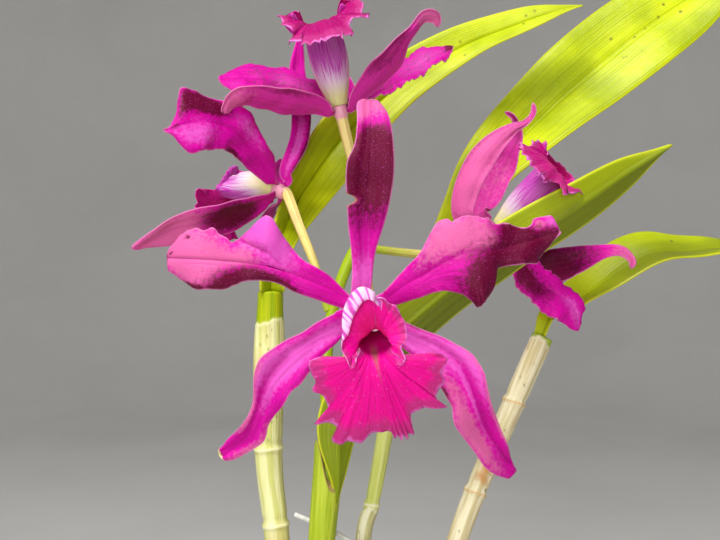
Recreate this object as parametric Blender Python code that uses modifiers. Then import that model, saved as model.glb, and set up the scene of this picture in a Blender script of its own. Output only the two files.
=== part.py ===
"""A cattleya orchid in a clay pot: canes on a creeping rhizome, leaves and a stalk with open blooms.

Lengths are in millimetres and become metres where a mesh is made. +Z is up, +X is to the right of someone
who looks at the front bloom, +Y is away from them, and the origin is the centre of the pot's underside.
"""

import math
import random

import bmesh
import bpy
import numpy as np
from mathutils import Matrix, Vector

MM = 0.001
GAP = 0.3  # between pieces that touch
STEP = 0.01  # how far apart two points of a curve are read to find its direction
CURVE_STEPS = 400  # for measuring a curve's length
ROUTE_POINTS = 60

# Pot and potting mix
POT_HEIGHT = 112.0
POT_RIM_RADIUS = 66.0
POT_RIM_HEIGHT = 22.0
POT_SHOULDER_RADIUS = 59.0
POT_BASE_RADIUS = 44.0
POT_WALL = 5.5
POT_FLOOR = 7.0
POT_EDGE = 1.5
RIM_TAPER = 2.0
POT_SIDES = 28
HOLE_SIDES = 12
DRAIN_RADIUS = 4.5
DRAIN_PLACES = 24.0
DRAINS = 4
MIX_TOP = 100.0
CHIPS = 42
CHIP_SEED = 11
CHIP_SIZES = ((7, 12), (5, 8), (4, 7))  # least and most along each side
CHIP_TILT = 0.4
CHIP_SINK = 1.5
CLEAR_OF_PLANT = 10.5
CHIP_FROM_WALL = 13.0

# Rhizome and roots: each root leaves the rhizome at its first place and goes into the mix at its second
RHIZOME_RADIUS = 4.0
RHIZOME_HEIGHT = MIX_TOP + RHIZOME_RADIUS + GAP
RHIZOME_ROUTE = ((-42, 0), (-30, 4), (-12, -2), (4, 16), (24, 27), (34, 31))
RHIZOME_POINTS = 16
RHIZOME_SWELL = 0.04
RHIZOME_END = 0.6  # the share of its radius at either end
ROOT_RADIUS = 1.7
ROOT_TIP = 0.5
ROOT_POINTS = 13
ROOT_BEND = 0.45  # how far along its way a root is highest
ROOT_ARCH = 2.0
ROOT_TURN = 3.5  # how far above the mix it turns down
ROOT_BURIED = 4.0  # where it is upright again
ROOT_DEPTH = 14.0
ROOT_ROOM = 1.0  # round a root in its hole
ROOTS = (((-24, 2), (-30, -20)), ((-12, -2), (-2, -24)), ((-3, 9), (-22, 28)), ((10, 20), (0, 42)),
         ((22, 26), (38, 8)), ((-34, 3), (-43, 18)))

# Canes: the line that each follows above the rhizome, its radii at even steps, and how many rings it has
CANE_FOOT = RHIZOME_HEIGHT + RHIZOME_RADIUS + GAP
CANE_SOCKET = 6.0  # the stretch above the rhizome that stands upright
CANE_POINTS = 61
CANE_ENDS = (0.0, 0.03, 0.98, 1.0)
CANE_TOP = 0.6  # the stretch above the last ring, as a share of one between two rings
RING_HEIGHT = 0.5
RING_SPREAD = 1.6
CANES = {
    "cane_left": (((-31, 4, CANE_FOOT), (-29.5, 7, 130), (-31, 12, 165), (-35, 14, 192), (-37.5, 15, 232),
                   (-36, 15, 291)), (3.0, 5.0, 5.4, 5.6, 5.8, 5.7, 5.4, 4.8), 5),
    "cane_front": (((-12, -2, CANE_FOOT), (-14.5, -2, 140), (-15, -2, 180), (-12, -1.5, 216)),
                   (3.0, 4.6, 5.6, 6.0, 6.1, 6.2), 4),
    "cane_rear": (((4, 16, CANE_FOOT), (0.5, 20, 140), (1.5, 25, 188), (9, 31, 229), (20, 38, 284)),
                  (2.8, 4.0, 4.4, 4.6, 4.7, 4.6, 4.2), 5),
    "cane_right": (((24, 27, CANE_FOOT), (28, 31, 140), (42.5, 38, 188), (61, 42, 231), (79, 45, 271)),
                   (2.8, 3.8, 4.2, 4.5, 4.6, 4.6, 4.6), 4),
}

# Leaves: the cane each stands on, the midrib's line above it, the half-widths at even steps, the way its
# upper side faces, and the fold at its midrib in degrees
LEAF_THICKNESS = 1.4
LEAF_CURL = -8
LEAF_GRID = (22, 4)
LEAF_STEM = 9.0  # how far a leaf goes on straight above its cane
LEAVES = {
    "leaf_front": ("cane_front", (3.4, -3.2),
                   ((-5.5, -3, 240), (-1, -1, 254), (11, 2, 271), (30, 3, 288), (56, 3, 306), (87, 5, 326),
                    (123, 10, 350)),
                   (5, 12, 14, 13.5, 12.5, 12, 10.5, 7.5, 1.5),
                   ((-0.7, 0.7, 0.1), (-0.4, 0.85, 0.2), (-0.2, 0.95, 0.25), (-0.2, 0.9, 0.4)),
                   (45, 36, 18, 10, 8)),
    "leaf_left": ("cane_left", (0, 0),
                  ((-35, 23, 306), (-31, 38, 320), (-24, 52, 336), (-8, 60, 359), (16, 64, 382),
                   (44, 66, 400), (72, 66, 412), (101, 64, 420)),
                  (4, 8, 12.5, 14.5, 13.5, 12, 10, 7, 1.5),
                  ((0.6, -0.7, 0.2), (0.5, -0.8, 0.3), (0.1, -0.9, 0.4), (-0.2, -0.8, 0.5)),
                  (45, 40, 30, 24, 16)),
    "leaf_rear": ("cane_rear", (0, 0),
                  ((29, 48, 299), (38, 58, 308), (49, 68, 325), (63, 76, 348), (90, 82, 376), (123, 85, 404),
                   (156, 84, 428), (186, 80, 446)),
                  (3.8, 8, 13, 17, 20, 22, 22, 17, 2),
                  ((-0.4, -0.8, 0.3), (-0.3, -0.9, 0.3), (-0.2, -0.9, 0.3)), (45, 36, 22, 14, 10)),
    "leaf_right": ("cane_right", (0, 0),
                   ((89, 48.5, 280), (97, 51, 287), (110, 55, 296), (125, 57, 305), (143, 58, 310),
                    (163, 58, 312), (186, 55, 309)),
                   (4, 7.5, 11, 13, 13.5, 12.5, 10, 2),
                   ((-0.5, -0.6, 0.6), (-0.3, -0.4, 0.8), (-0.1, -0.4, 0.9)), (45, 30, 22, 16, 10)),
}

# Stalk, its sheath and the support wire
STALK_RADIUS = 2.3
STALK_POINTS = 18
STALK_OFFSET = (0, 0)
STALK_ROUTE = ((-11.5, 1, 234), (-13.5, 5, 256), (-11, 9, 283), (-5, 12, 302), (0, 14, 311))
SHEATH_OFFSET = (-3.3, 3.3)
SHEATH_THICKNESS = 0.7
SHEATH_ROUTE = ((-16.5, 4, 234), (-18.5, 7.5, 252), (-17.5, 11, 268))
SHEATH_FACE = (0.7, -0.7, 0)
SHEATH_HALF_WIDTHS = (3.2, 4, 3.6, 1.0)
SHEATH_FOLD = (45, 45, 40, 30)
SHEATH_CURL = 1
SHEATH_GRID = (10, 4)
WIRE_RADIUS = 0.9
WIRE_POINTS = 26
WIRE_ROUTE = ((-25.5, 6, 204), (-6, 9, 194), (8, 9, 182), (14, 5, 162), (15, 0, 138), (15, -1, 112),
              (15, -1, 84))

# Blooms
TEPAL_THICKNESS = 0.7
TEPAL_FOLD = (6, 10, 8, 4)
TEPAL_GRID = (11, 4)
FINE_TEPAL_GRID = (15, 6)
SEPAL_CURL = 14
PETAL_CURL = -22
PETAL_RUFFLE = 0.9
RUFFLE_WAVES = 4
PEDICEL_RADII = (1.7, 1.7, 1.9, 2.1, 2.3)
PEDICEL_POINTS = 13
NECK_LENGTH = 5.0  # the straight end of the ovary
RECEPTACLE_RADIUS = 2.9
RECEPTACLE_BACK = 2.6
RECEPTACLE_EDGE = 0.6
RECEPTACLE_FRONT = 1.4
CLAW_RADIUS = RECEPTACLE_RADIUS + GAP + 0.1
CLAW_LENGTH = 2.5
SEPAL_PLACE = -1.0  # along the bloom's axis, from its centre
PETAL_PLACE = 0.7
LIP_THICKNESS = 0.6
LIP_GRID = (8, 10)
FINE_LIP_GRID = (12, 20)
LIP_FOOT = RECEPTACLE_FRONT + GAP
LIP_LINE = ((0, 0), (5, 0), (12, 0.6), (19, -2.5), (25.5, -9))  # forward and up, from foot to mouth
LIP_POINTS = 16
LIP_RADII = (2.8, 5.0, 6.6, 7.6, 8.4)  # of the tube, at even steps
LIP_STRIP = 0.6  # the middle share of the lip's width, which goes on past the mouth as the middle lobe
LIP_STRIP_ANGLE = 58.0
LIP_WRAP = (168.0, 160.0, 150.0, 140.0)  # how far round the column the tube goes to each side
SIDE_LOBE_FLARE = 3.6
SIDE_LOBE_EDGE = 0.77  # where the flare ends
SIDE_LOBE_ROLL = 108.0
MIDDLE_LOBE = (17, 17.5, 19, 27.5, 29.5, 31, 30, 26, 27, 18, 17.5)  # the rays that fan out from the mouth
MIDDLE_LOBE_STEPS = 12
MIDDLE_LOBE_SPREAD = 92.0
MIDDLE_LOBE_BEND = (12.0, 58.0, 72.0, 84.0)
MIDDLE_LOBE_RUFFLE = 1.1
MIDDLE_LOBE_WAVES = 3.5
COLUMN_POINTS = 7
COLUMN_RADII = (1.7, 1.8, 2.1, 2.5, 2.3)
COLUMN_LIFT = 2.2
COLUMN_SHARE = 0.72

SEPAL_WIDTHS = (1.5, 4.2, 6.4, 7.4, 7.6, 6.6, 5.0, 1.6)
PETAL_WIDTHS = (1.5, 4.5, 9, 12, 12.5, 11.5, 9, 3)
NARROW_PETAL_WIDTHS = (1.5, 3.5, 6, 8.5, 9.5, 9.5, 8.5, 3)

# Each tepal: its midrib from the bloom's centre, and its half-widths on either side of it
BLOOMS = {
    "bloom_front": dict(
        centre=(2.6, -55, 289.1), facing=(0.09, -1, 0), up=(0, 0, 1), droop=1.0, fine=True,
        pedicel=((0.4, 10.6, 309.5), (1.5, -6, 307), (2.4, -26, 299), (2.6, -42, 290.5)),
        tepals={
            "dorsal_sepal": (((0, 0, 8), (0, -1, 22), (0, -1, 37), (1, 2, 53), (1, 9, 68)),
                             (1.5, 3.4, 4.3, 5.2, 6.6, 7.9, 8.0, 6.6, 5.6, 2.6),
                             (1.5, 3.4, 4.3, 5.2, 6.6, 7.9, 8.0, 6.6, 5.6, 2.6)),
            "petal_left": (((-8, -1, 2), (-16, -3, 6), (-32, -5, 12), (-48, -3, 14), (-67, 3, 15)),
                           (1.5, 3.3, 5.0, 5.6, 5.6, 6.3, 8.6, 10, 2.5),
                           (1.5, 2.6, 5.3, 9.2, 14.8, 8.8, 9.9, 10.9, 2.5)),
            "petal_right": (((7, -1, 2), (14, -3, 7), (30, -5, 16), (47, -3, 19), (64, 3, 24)),
                            (1.5, 2.6, 5.3, 11, 12.2, 9.9, 6.6, 5.6, 2),
                            (1.5, 3.0, 4.6, 7.6, 11.9, 17, 7, 7.3, 2.3)),
            "sepal_left": (((-8, -2, -9), (-16, -5, -12), (-25, -7, -18), (-32, -7, -26), (-36, -4, -36),
                            (-41, 1, -45), (-50, 7, -52)),
                           (1.5, 5, 6, 6.6, 7.2, 6.3, 4.3, 2.8, 1.0),
                           (1.5, 5, 6, 6.6, 7.2, 6.3, 4.3, 2.8, 1.0)),
            "sepal_right": (((12, -2, -11), (21, -5, -15), (29, -7, -21), (33, -7, -29), (37, -4, -39),
                             (43, 1, -49), (50, 7, -57)),
                            (1.5, 4.4, 5.6, 6.9, 8.2, 8.2, 6.9, 5, 1.6),
                            (1.5, 4.4, 5.6, 6.9, 8.2, 8.2, 6.9, 5, 1.6)),
        }),
    "bloom_top": dict(
        centre=(-8.1, 20, 365.2), facing=(-0.22, -0.03, 0.97), up=(0, 1, 0.03), droop=1.0, fine=False,
        pedicel=((0.3, 14.3, 312.2), (0.9, 17, 328), (-3.2, 19, 344.6), (-6.6, 20, 357)),
        tepals={
            "dorsal_sepal": (((0, 9, 1), (1, 19, 4), (1, 27, 11), (1, 31, 22)),
                             SEPAL_WIDTHS, SEPAL_WIDTHS),
            "petal_left": (((-8, 4, 5), (-21, 7, 11), (-37, 6, 14), (-50, 2, 13)),
                           PETAL_WIDTHS, PETAL_WIDTHS,
                           (0.1, -0.7, 0.7)),
            "petal_right": (((6, 4, 5), (19, 10, 12), (34, 16, 22), (48, 18, 30)),
                            PETAL_WIDTHS, PETAL_WIDTHS,
                            (-0.3, -0.75, 0.6)),
            "sepal_left": (((-8, -6, 0), (-20, -12, 1), (-33, -16, 3), (-46, -18, -3)),
                           SEPAL_WIDTHS, SEPAL_WIDTHS,
                           (-0.1, 0.55, 0.83)),
            "sepal_right": (((8, -6, 4), (19, -10, 13), (29, -10, 27), (39, -6, 36)),
                            SEPAL_WIDTHS, SEPAL_WIDTHS,
                            (-0.45, 0.7, 0.55)),
        }),
    "bloom_left": dict(
        centre=(-33.8, 25, 333), facing=(-0.8, 0.4, 0.45), up=(0.45, -0.2, 0.85), droop=1.0, fine=False,
        pedicel=((-14.3, 9, 287), (-18, 11, 302), (-25, 16, 319), (-28, 20.5, 328)),
        tepals={
            "dorsal_sepal": (((3, 4, 8), (6, 12, 22), (6, 18, 38), (4, 21, 52), (6, 19, 65)),
                             SEPAL_WIDTHS, SEPAL_WIDTHS),
            "petal_left": (((-1, 9, 1), (-5, 21, 4), (-12, 33, 7), (-23, 41, 11)),
                           PETAL_WIDTHS, PETAL_WIDTHS),
            "petal_right": (((-3, -7, 4), (-10, -19, 12), (-21, -31, 21), (-36, -40, 28)),
                            PETAL_WIDTHS, PETAL_WIDTHS),
            "sepal_left": (((-2, 8, -6), (-7, 18, -14), (-14, 28, -19), (-22, 37, -21)),
                           SEPAL_WIDTHS, SEPAL_WIDTHS),
            "sepal_right": (((-6, -9, -6), (-19, -20, -12), (-36, -29, -17), (-52, -35, -25)),
                            SEPAL_WIDTHS, SEPAL_WIDTHS),
        }),
    "bloom_right": dict(
        centre=(56, 28, 317), facing=(0.7, 0, 0.71), up=(-0.57, -0.57, 0.57), droop=0.4, fine=False,
        pedicel=((2.3, 14.5, 308.6), (18, 18, 307), (34, 23, 306), (46, 27, 308)),
        tepals={
            "dorsal_sepal": (((-6, -4, 3), (-12, -6, 15), (-7, -8, 29), (5, -6, 41), (16, -2, 53)),
                             SEPAL_WIDTHS, SEPAL_WIDTHS, (0.55, 0.8, 0.2)),
            "petal_left": (((5, -6, -6), (12, -9, -16), (20, -9, -24), (29, -8, -29), (32, -6, -39)),
                           SEPAL_WIDTHS, NARROW_PETAL_WIDTHS, (0.3, -0.9, 0.3)),
            "petal_right": (((-2, 7, 5), (-2, 13, 17), (3, 17, 30), (11, 17, 43), (8, 14, 53)),
                            PETAL_WIDTHS, PETAL_WIDTHS, (0.5, 0.8, 0.2)),
            "sepal_left": (((8, 1, -4), (17, 3, -9), (28, 3, -12), (41, 2, -10), (54, 2, -13)),
                           SEPAL_WIDTHS, SEPAL_WIDTHS, (0.1, -0.85, 0.5)),
            "sepal_right": (((3, 11, -2), (5, 23, -3), (9, 34, -6), (13, 42, -12)),
                            SEPAL_WIDTHS, SEPAL_WIDTHS),
        }),
}


def start_scene():
    """Empty the scene, and return the collections for the plant's pieces and for the tools that cut them."""
    for thing in list(bpy.data.objects):
        bpy.data.objects.remove(thing, do_unlink=True)
    plant = bpy.data.collections.new("cattleya_orchid")
    cutters = bpy.data.collections.new("cutters")
    for collection in (plant, cutters):
        bpy.context.scene.collection.children.link(collection)
    return plant, cutters


def finish(name, colour, roughness):
    """A plain material of the given colour."""
    made = bpy.data.materials.new(name)
    made.use_nodes = True
    shader = made.node_tree.nodes["Principled BSDF"]
    shader.inputs["Base Color"].default_value = (*colour, 1)
    shader.inputs["Roughness"].default_value = roughness
    shader.inputs["Metallic"].default_value = 0
    return made


def add_piece(name, mesh, home, material):
    """Put a mesh in the scene as a piece called name, made of the material."""
    piece = bpy.data.objects.new(name, mesh)
    home.objects.link(piece)
    mesh.materials.clear()
    mesh.materials.append(material)
    return piece


def smooth_curve(points, t):
    """Where a smooth curve through evenly spaced values, numbers or places, is at t, from 0 to 1."""
    points = np.asarray(points, float)
    spans = len(points) - 1
    span = min(int(t * spans), spans - 1)
    f = t * spans - span
    before = points[max(span - 1, 0)]
    start = points[span]
    end = points[span + 1]
    after = points[min(span + 2, spans)]
    return 0.5 * (2 * start + (end - before) * f + (2 * before - 5 * start + 4 * end - after) * f ** 2
                  + (3 * start - before - 3 * end + after) * f ** 3)


def even_route(points, count=ROUTE_POINTS):
    """Points an even distance apart on a smooth curve through the given ones."""
    fine = np.array([smooth_curve(points, i / CURVE_STEPS) for i in range(CURVE_STEPS + 1)])
    run = np.concatenate([[0], np.cumsum(np.linalg.norm(np.diff(fine, axis=0), axis=1))])
    wanted = np.linspace(0, run[-1], count)
    return np.stack([np.interp(wanted, run, fine[:, axis]) for axis in range(3)], axis=1)


def unit(vector):
    vector = np.asarray(vector, float)
    return vector / np.linalg.norm(vector)


def direction(points, t):
    """The direction of the curve at t."""
    return unit(smooth_curve(points, min(t + STEP, 1)) - smooth_curve(points, max(t - STEP, 0)))


def section(v, fold, curl):
    """How far a blade's section has run sideways and upwards at v, from -1 at one edge to 1 at the other,
    for a half-width of 1. It rises from the midrib at the fold's angle, which changes by the curl."""
    rise = math.radians(fold)
    turn = math.radians(curl)
    out = abs(v)
    side = (math.sin(rise + turn * out) - math.sin(rise)) / turn
    up = (math.cos(rise) - math.cos(rise + turn * out)) / turn
    return math.copysign(side, v), up


def thicken(piece, thickness):
    wall = piece.modifiers.new("Thickness", "SOLIDIFY")
    wall.thickness = thickness * MM
    wall.offset = 0
    piece.data.shade_smooth()


def add_blade(name, home, material, route, left, right, face, fold, curl, thickness, grid, ruffle=0.0):
    """A leaf, sepal or petal: a sheet along the route, shaped by its outline and section, with an even
    thickness."""
    line = even_route(route)
    sheet = bmesh.new()
    bmesh.ops.create_grid(sheet, x_segments=grid[0], y_segments=grid[1], size=1)
    for vert in sheet.verts:
        t = (vert.co.x + 1) / 2
        v = vert.co.y
        along = direction(line, t)
        side = unit(np.cross(along, smooth_curve(face, t) if len(face) > 1 else face[0]))
        normal = np.cross(side, along)
        half = float(smooth_curve(right if v > 0 else left, t))
        run, rise = section(v, float(smooth_curve(fold, t)), curl)
        wave = math.sin(2 * math.pi * RUFFLE_WAVES * t + (1 if v > 0 else 0)) * min(1, 3 * t)
        rise += ruffle / half * v ** 2 * wave
        vert.co = Vector(smooth_curve(line, t) + half * (run * side + rise * normal)) * MM
    bmesh.ops.triangulate(sheet, faces=sheet.faces)
    mesh = bpy.data.meshes.new(name)
    sheet.to_mesh(mesh)
    sheet.free()
    thicken(add_piece(name, mesh, home, material), thickness)


def add_stem(name, home, material, points, radii, resolution=2):
    """A stem through the points, as a curve with a round section whose radius changes along it."""
    curve = bpy.data.curves.new(name, "CURVE")
    curve.dimensions = "3D"
    curve.bevel_depth = MM
    curve.bevel_resolution = resolution
    curve.resolution_u = 1
    curve.render_resolution_u = 0
    curve.use_fill_caps = True
    spline = curve.splines.new("POLY")
    spline.points.add(len(points) - 1)
    for spot, place, radius in zip(spline.points, points, radii):
        spot.co = (*(Vector(place) * MM), 1)
        spot.radius = radius
    stem = bpy.data.objects.new(name, curve)
    home.objects.link(stem)
    curve.materials.append(material)
    return stem


def to_mesh(stem, home, material):
    """The same piece as a mesh with welded caps, which can be cut and joined."""
    name = stem.name
    evaluated = stem.evaluated_get(bpy.context.evaluated_depsgraph_get())
    mesh = bpy.data.meshes.new_from_object(evaluated)
    bpy.data.objects.remove(stem, do_unlink=True)
    weld = bmesh.new()
    weld.from_mesh(mesh)
    bmesh.ops.remove_doubles(weld, verts=weld.verts, dist=MM / 100)
    bmesh.ops.recalc_face_normals(weld, faces=weld.faces)
    weld.to_mesh(mesh)
    weld.free()
    mesh.name = name
    return add_piece(name, mesh, home, material)


def boolean(piece, tool, operation):
    """Join the tool's shape to the piece, or cut it from the piece."""
    change = piece.modifiers.new(tool.name, "BOOLEAN")
    change.operation = operation
    change.object = tool
    change.solver = "EXACT"
    tool.hide_render = True
    tool.display_type = "WIRE"


def turned(name, home, material, profile, sides):
    """A turned shape: a profile of radius and height, top to bottom on its outer side, spun round +Z."""
    outline = bmesh.new()
    verts = [outline.verts.new((radius * MM, 0, height * MM)) for radius, height in profile]
    for first, second in zip(verts, verts[1:]):
        outline.edges.new((first, second))
    mesh = bpy.data.meshes.new(name)
    outline.to_mesh(mesh)
    outline.free()
    piece = add_piece(name, mesh, home, material)
    spin = piece.modifiers.new("Turn", "SCREW")
    spin.steps = sides
    spin.render_steps = sides
    spin.use_merge_vertices = True
    spin.merge_threshold = 0.00001
    return piece


def add_pot(plant, cutters, clay):
    """A plain clay pot with a rim band and drain holes round the middle of its floor."""
    rim_inside = POT_RIM_RADIUS - POT_WALL
    rim_bottom = POT_HEIGHT - POT_RIM_HEIGHT
    profile = [(0, POT_FLOOR), (POT_BASE_RADIUS - POT_WALL, POT_FLOOR),
               (POT_SHOULDER_RADIUS - POT_WALL, rim_bottom - POT_EDGE), (rim_inside, POT_HEIGHT - POT_EDGE),
               (rim_inside + POT_EDGE, POT_HEIGHT), (POT_RIM_RADIUS - POT_EDGE, POT_HEIGHT),
               (POT_RIM_RADIUS, POT_HEIGHT - POT_EDGE),
               (POT_RIM_RADIUS - RIM_TAPER / 2, rim_bottom + POT_EDGE),
               (POT_RIM_RADIUS - RIM_TAPER, rim_bottom), (POT_SHOULDER_RADIUS, rim_bottom),
               (POT_BASE_RADIUS + POT_EDGE / 2, POT_EDGE), (POT_BASE_RADIUS - POT_EDGE / 2, 0), (0, 0)]
    pot = turned("pot", plant, clay, profile, POT_SIDES)
    for number in range(DRAINS):
        angle = 2 * math.pi * (number + 0.5) / DRAINS
        place = Vector((DRAIN_PLACES * math.cos(angle), DRAIN_PLACES * math.sin(angle), POT_FLOOR / 2))
        hole = add_peg(f"drain_{number}", cutters, clay, place, DRAIN_RADIUS, 3 * POT_FLOOR)
        boolean(pot, hole, "DIFFERENCE")


def add_peg(name, home, material, middle, radius, length):
    """An upright round peg."""
    made = bmesh.new()
    bmesh.ops.create_cone(made, cap_ends=True, segments=HOLE_SIDES, radius1=radius * MM, radius2=radius * MM,
                          depth=length * MM, matrix=Matrix.Translation(middle * MM))
    mesh = bpy.data.meshes.new(name)
    made.to_mesh(mesh)
    made.free()
    return add_piece(name, mesh, home, material)


def pot_inside(height):
    """The pot's inner radius at a height."""
    share = (height - POT_FLOOR) / (POT_HEIGHT - POT_RIM_HEIGHT - POT_EDGE - POT_FLOOR)
    lower = POT_BASE_RADIUS - POT_WALL
    upper = POT_SHOULDER_RADIUS - POT_WALL
    if share <= 1:
        return lower + (upper - lower) * share
    share = (height - (POT_HEIGHT - POT_RIM_HEIGHT - POT_EDGE)) / POT_RIM_HEIGHT
    return upper + (POT_RIM_RADIUS - POT_WALL - upper) * share


def rhizome_line():
    return even_route([(x, y, RHIZOME_HEIGHT) for x, y in RHIZOME_ROUTE], RHIZOME_POINTS)


def root_line(start, end):
    """A root leaves the rhizome's side, arches over the mix and goes down into it."""
    x0, y0 = start
    x1, y1 = end
    highest = (x0 + (x1 - x0) * ROOT_BEND, y0 + (y1 - y0) * ROOT_BEND, RHIZOME_HEIGHT + ROOT_ARCH)
    return even_route([(x0, y0, RHIZOME_HEIGHT), highest, (x1, y1, MIX_TOP + ROOT_TURN),
                       (x1, y1, MIX_TOP - ROOT_BURIED), (x1, y1, MIX_TOP - ROOT_DEPTH)], ROOT_POINTS)


def plant_places():
    """Every place on the mix that the plant covers."""
    places = [tuple(point[:2]) for point in rhizome_line()]
    for start, end in ROOTS:
        places += [tuple(point[:2]) for point in root_line(start, end)]
    places.append((WIRE_ROUTE[-1][0], WIRE_ROUTE[-1][1]))
    return places


def add_mix(plant, cutters, bark):
    """The potting mix: a filling that stands clear of the pot's wall, with bark chips fused to its top."""
    bottom = POT_FLOOR + GAP
    middle = POT_HEIGHT - POT_RIM_HEIGHT - POT_EDGE
    profile = [(0, MIX_TOP), (pot_inside(MIX_TOP) - GAP, MIX_TOP), (pot_inside(middle) - GAP, middle),
               (pot_inside(bottom) - GAP, bottom), (0, bottom)]
    mix = turned("bark_mix", plant, bark, profile, POT_SIDES)
    chance = random.Random(CHIP_SEED)
    taken = plant_places()
    chips = bmesh.new()
    made = 0
    while made < CHIPS:
        angle = chance.uniform(0, 2 * math.pi)
        reach = (POT_RIM_RADIUS - POT_WALL - CHIP_FROM_WALL) * math.sqrt(chance.random())
        x, y = reach * math.cos(angle), reach * math.sin(angle)
        if min(math.hypot(x - a, y - b) for a, b in taken) < CLEAR_OF_PLANT:
            continue
        size = [chance.uniform(least, most) for least, most in CHIP_SIZES]
        turn = Matrix.Rotation(chance.uniform(0, math.pi), 4, "Z")
        tilt = Matrix.Rotation(chance.uniform(-CHIP_TILT, CHIP_TILT), 4, "X")
        place = Matrix.Translation(Vector((x, y, MIX_TOP - CHIP_SINK + size[2] / 4)) * MM)
        bmesh.ops.create_cube(chips, size=MM, matrix=place @ turn @ tilt @ Matrix.Diagonal((*size, 1)))
        made += 1
    mesh = bpy.data.meshes.new("chips")
    chips.to_mesh(mesh)
    chips.free()
    boolean(mix, add_piece("chips", mesh, cutters, bark), "UNION")
    mix.modifiers[-1].use_self = True
    for number, (_, end) in enumerate(ROOTS):
        foot = (*end, MIX_TOP - ROOT_DEPTH)
        add_hole(mix, f"root_hole_{number}", cutters, bark, foot, ROOT_RADIUS + ROOT_ROOM)
    add_hole(mix, "wire_hole", cutters, bark, WIRE_ROUTE[-1], WIRE_RADIUS + 2 * GAP)


def add_hole(mix, name, cutters, bark, foot, radius):
    """A plain upright hole in the mix, down to just below the foot of what stands in it."""
    x, y, bottom = foot
    bottom -= GAP
    middle = Vector((x, y, (bottom + POT_HEIGHT) / 2))
    boolean(mix, add_peg(name, cutters, bark, middle, radius, POT_HEIGHT - bottom), "DIFFERENCE")


def add_rhizome(plant, cutters, material):
    """The creeping rhizome, with its roots joined to it."""
    line = rhizome_line()
    radii = [RHIZOME_RADIUS * (1 + RHIZOME_SWELL * math.cos(3 * i)) for i in range(len(line))]
    radii[0] = RHIZOME_RADIUS * RHIZOME_END
    radii[-1] = radii[0]
    rhizome = to_mesh(add_stem("rhizome", plant, material, line, radii), plant, material)
    for number, (start, end) in enumerate(ROOTS):
        line = root_line(start, end)
        radii = [ROOT_RADIUS] * (len(line) - 1) + [ROOT_RADIUS * ROOT_TIP]
        root = to_mesh(add_stem(f"root_{number}", cutters, material, line, radii, 1), cutters, material)
        boolean(rhizome, root, "UNION")


def cane_line(name):
    foot, *rest = CANES[name][0]
    return even_route([foot, (foot[0], foot[1], foot[2] + CANE_SOCKET), *rest], CANE_POINTS)


def add_cane(name, plant, material):
    """A cane with a raised ring at each of its nodes."""
    _, radii, rings = CANES[name]
    line = cane_line(name)
    length = float(np.sum(np.linalg.norm(np.diff(line, axis=0), axis=1)))
    rings_at = [ring / (rings + CANE_TOP) for ring in range(1, rings + 1)]
    shares = {*CANE_ENDS, *rings_at}
    spread = RING_SPREAD / length
    for middle in rings_at:
        shares.update((middle - spread, middle + spread, middle - rings_at[0] / 2))
    points = []
    sizes = []
    for share in sorted(shares):
        points.append(smooth_curve(line, share))
        sizes.append(float(smooth_curve(radii, share)) + (RING_HEIGHT if share in rings_at else 0))
    add_stem(name, plant, material, points, sizes, 3)


def cane_end(name, offset, clear):
    """A place on the end of a cane, just above its flat top, and the cane's direction there."""
    line = cane_line(name)
    axis = direction(line, 1)
    across = unit(np.cross((0, 1, 0), axis))
    place = line[-1] + axis * clear + across * offset[0] + np.cross(axis, across) * offset[1]
    return place, axis


def from_cane(name, offset, route, clear=GAP):
    """A route that leaves a cane's end straight, and then follows the given points."""
    place, axis = cane_end(name, offset, clear)
    return [tuple(place), tuple(place + axis * LEAF_STEM), *route]


def bloom_axes(bloom):
    """The way a bloom faces, its upward direction and the direction to its right."""
    facing = unit(bloom["facing"])
    right = unit(np.cross(bloom["up"], facing))
    return facing, np.cross(facing, right), right


def add_tepal(name, bloom, plant, material, place, tepal):
    """A sepal or petal, from its claw beside the receptacle outwards."""
    route, left, right = tepal[:3]
    face = tepal[3] if len(tepal) > 3 else bloom["facing"]
    facing, _, _ = bloom_axes(bloom)
    centre = np.array(bloom["centre"], float)
    out = unit(np.array(route[0]) - facing * np.dot(route[0], facing))
    foot = centre + facing * place + out * CLAW_RADIUS
    line = [foot, foot + out * CLAW_LENGTH, *(centre + np.array(point, float) for point in route)]
    curl, ruffle = (PETAL_CURL, PETAL_RUFFLE) if "petal" in name else (SEPAL_CURL, 0.0)
    grid = FINE_TEPAL_GRID if bloom["fine"] else TEPAL_GRID
    add_blade(name, plant, material, line, left, right, (face,), TEPAL_FOLD, curl, TEPAL_THICKNESS, grid,
              ruffle)


def lip_tube(bloom, share):
    """The middle of the lip's tube, its direction and its up direction, at a share of its length."""
    facing, up, _ = bloom_axes(bloom)
    centre = np.array(bloom["centre"], float)
    line = even_route([centre + facing * (LIP_FOOT + ahead) + up * rise * bloom["droop"]
                       for ahead, rise in LIP_LINE], LIP_POINTS)
    along = direction(line, share)
    lift = unit(up - along * np.dot(up, along))
    return smooth_curve(line, share), along, lift


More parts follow.
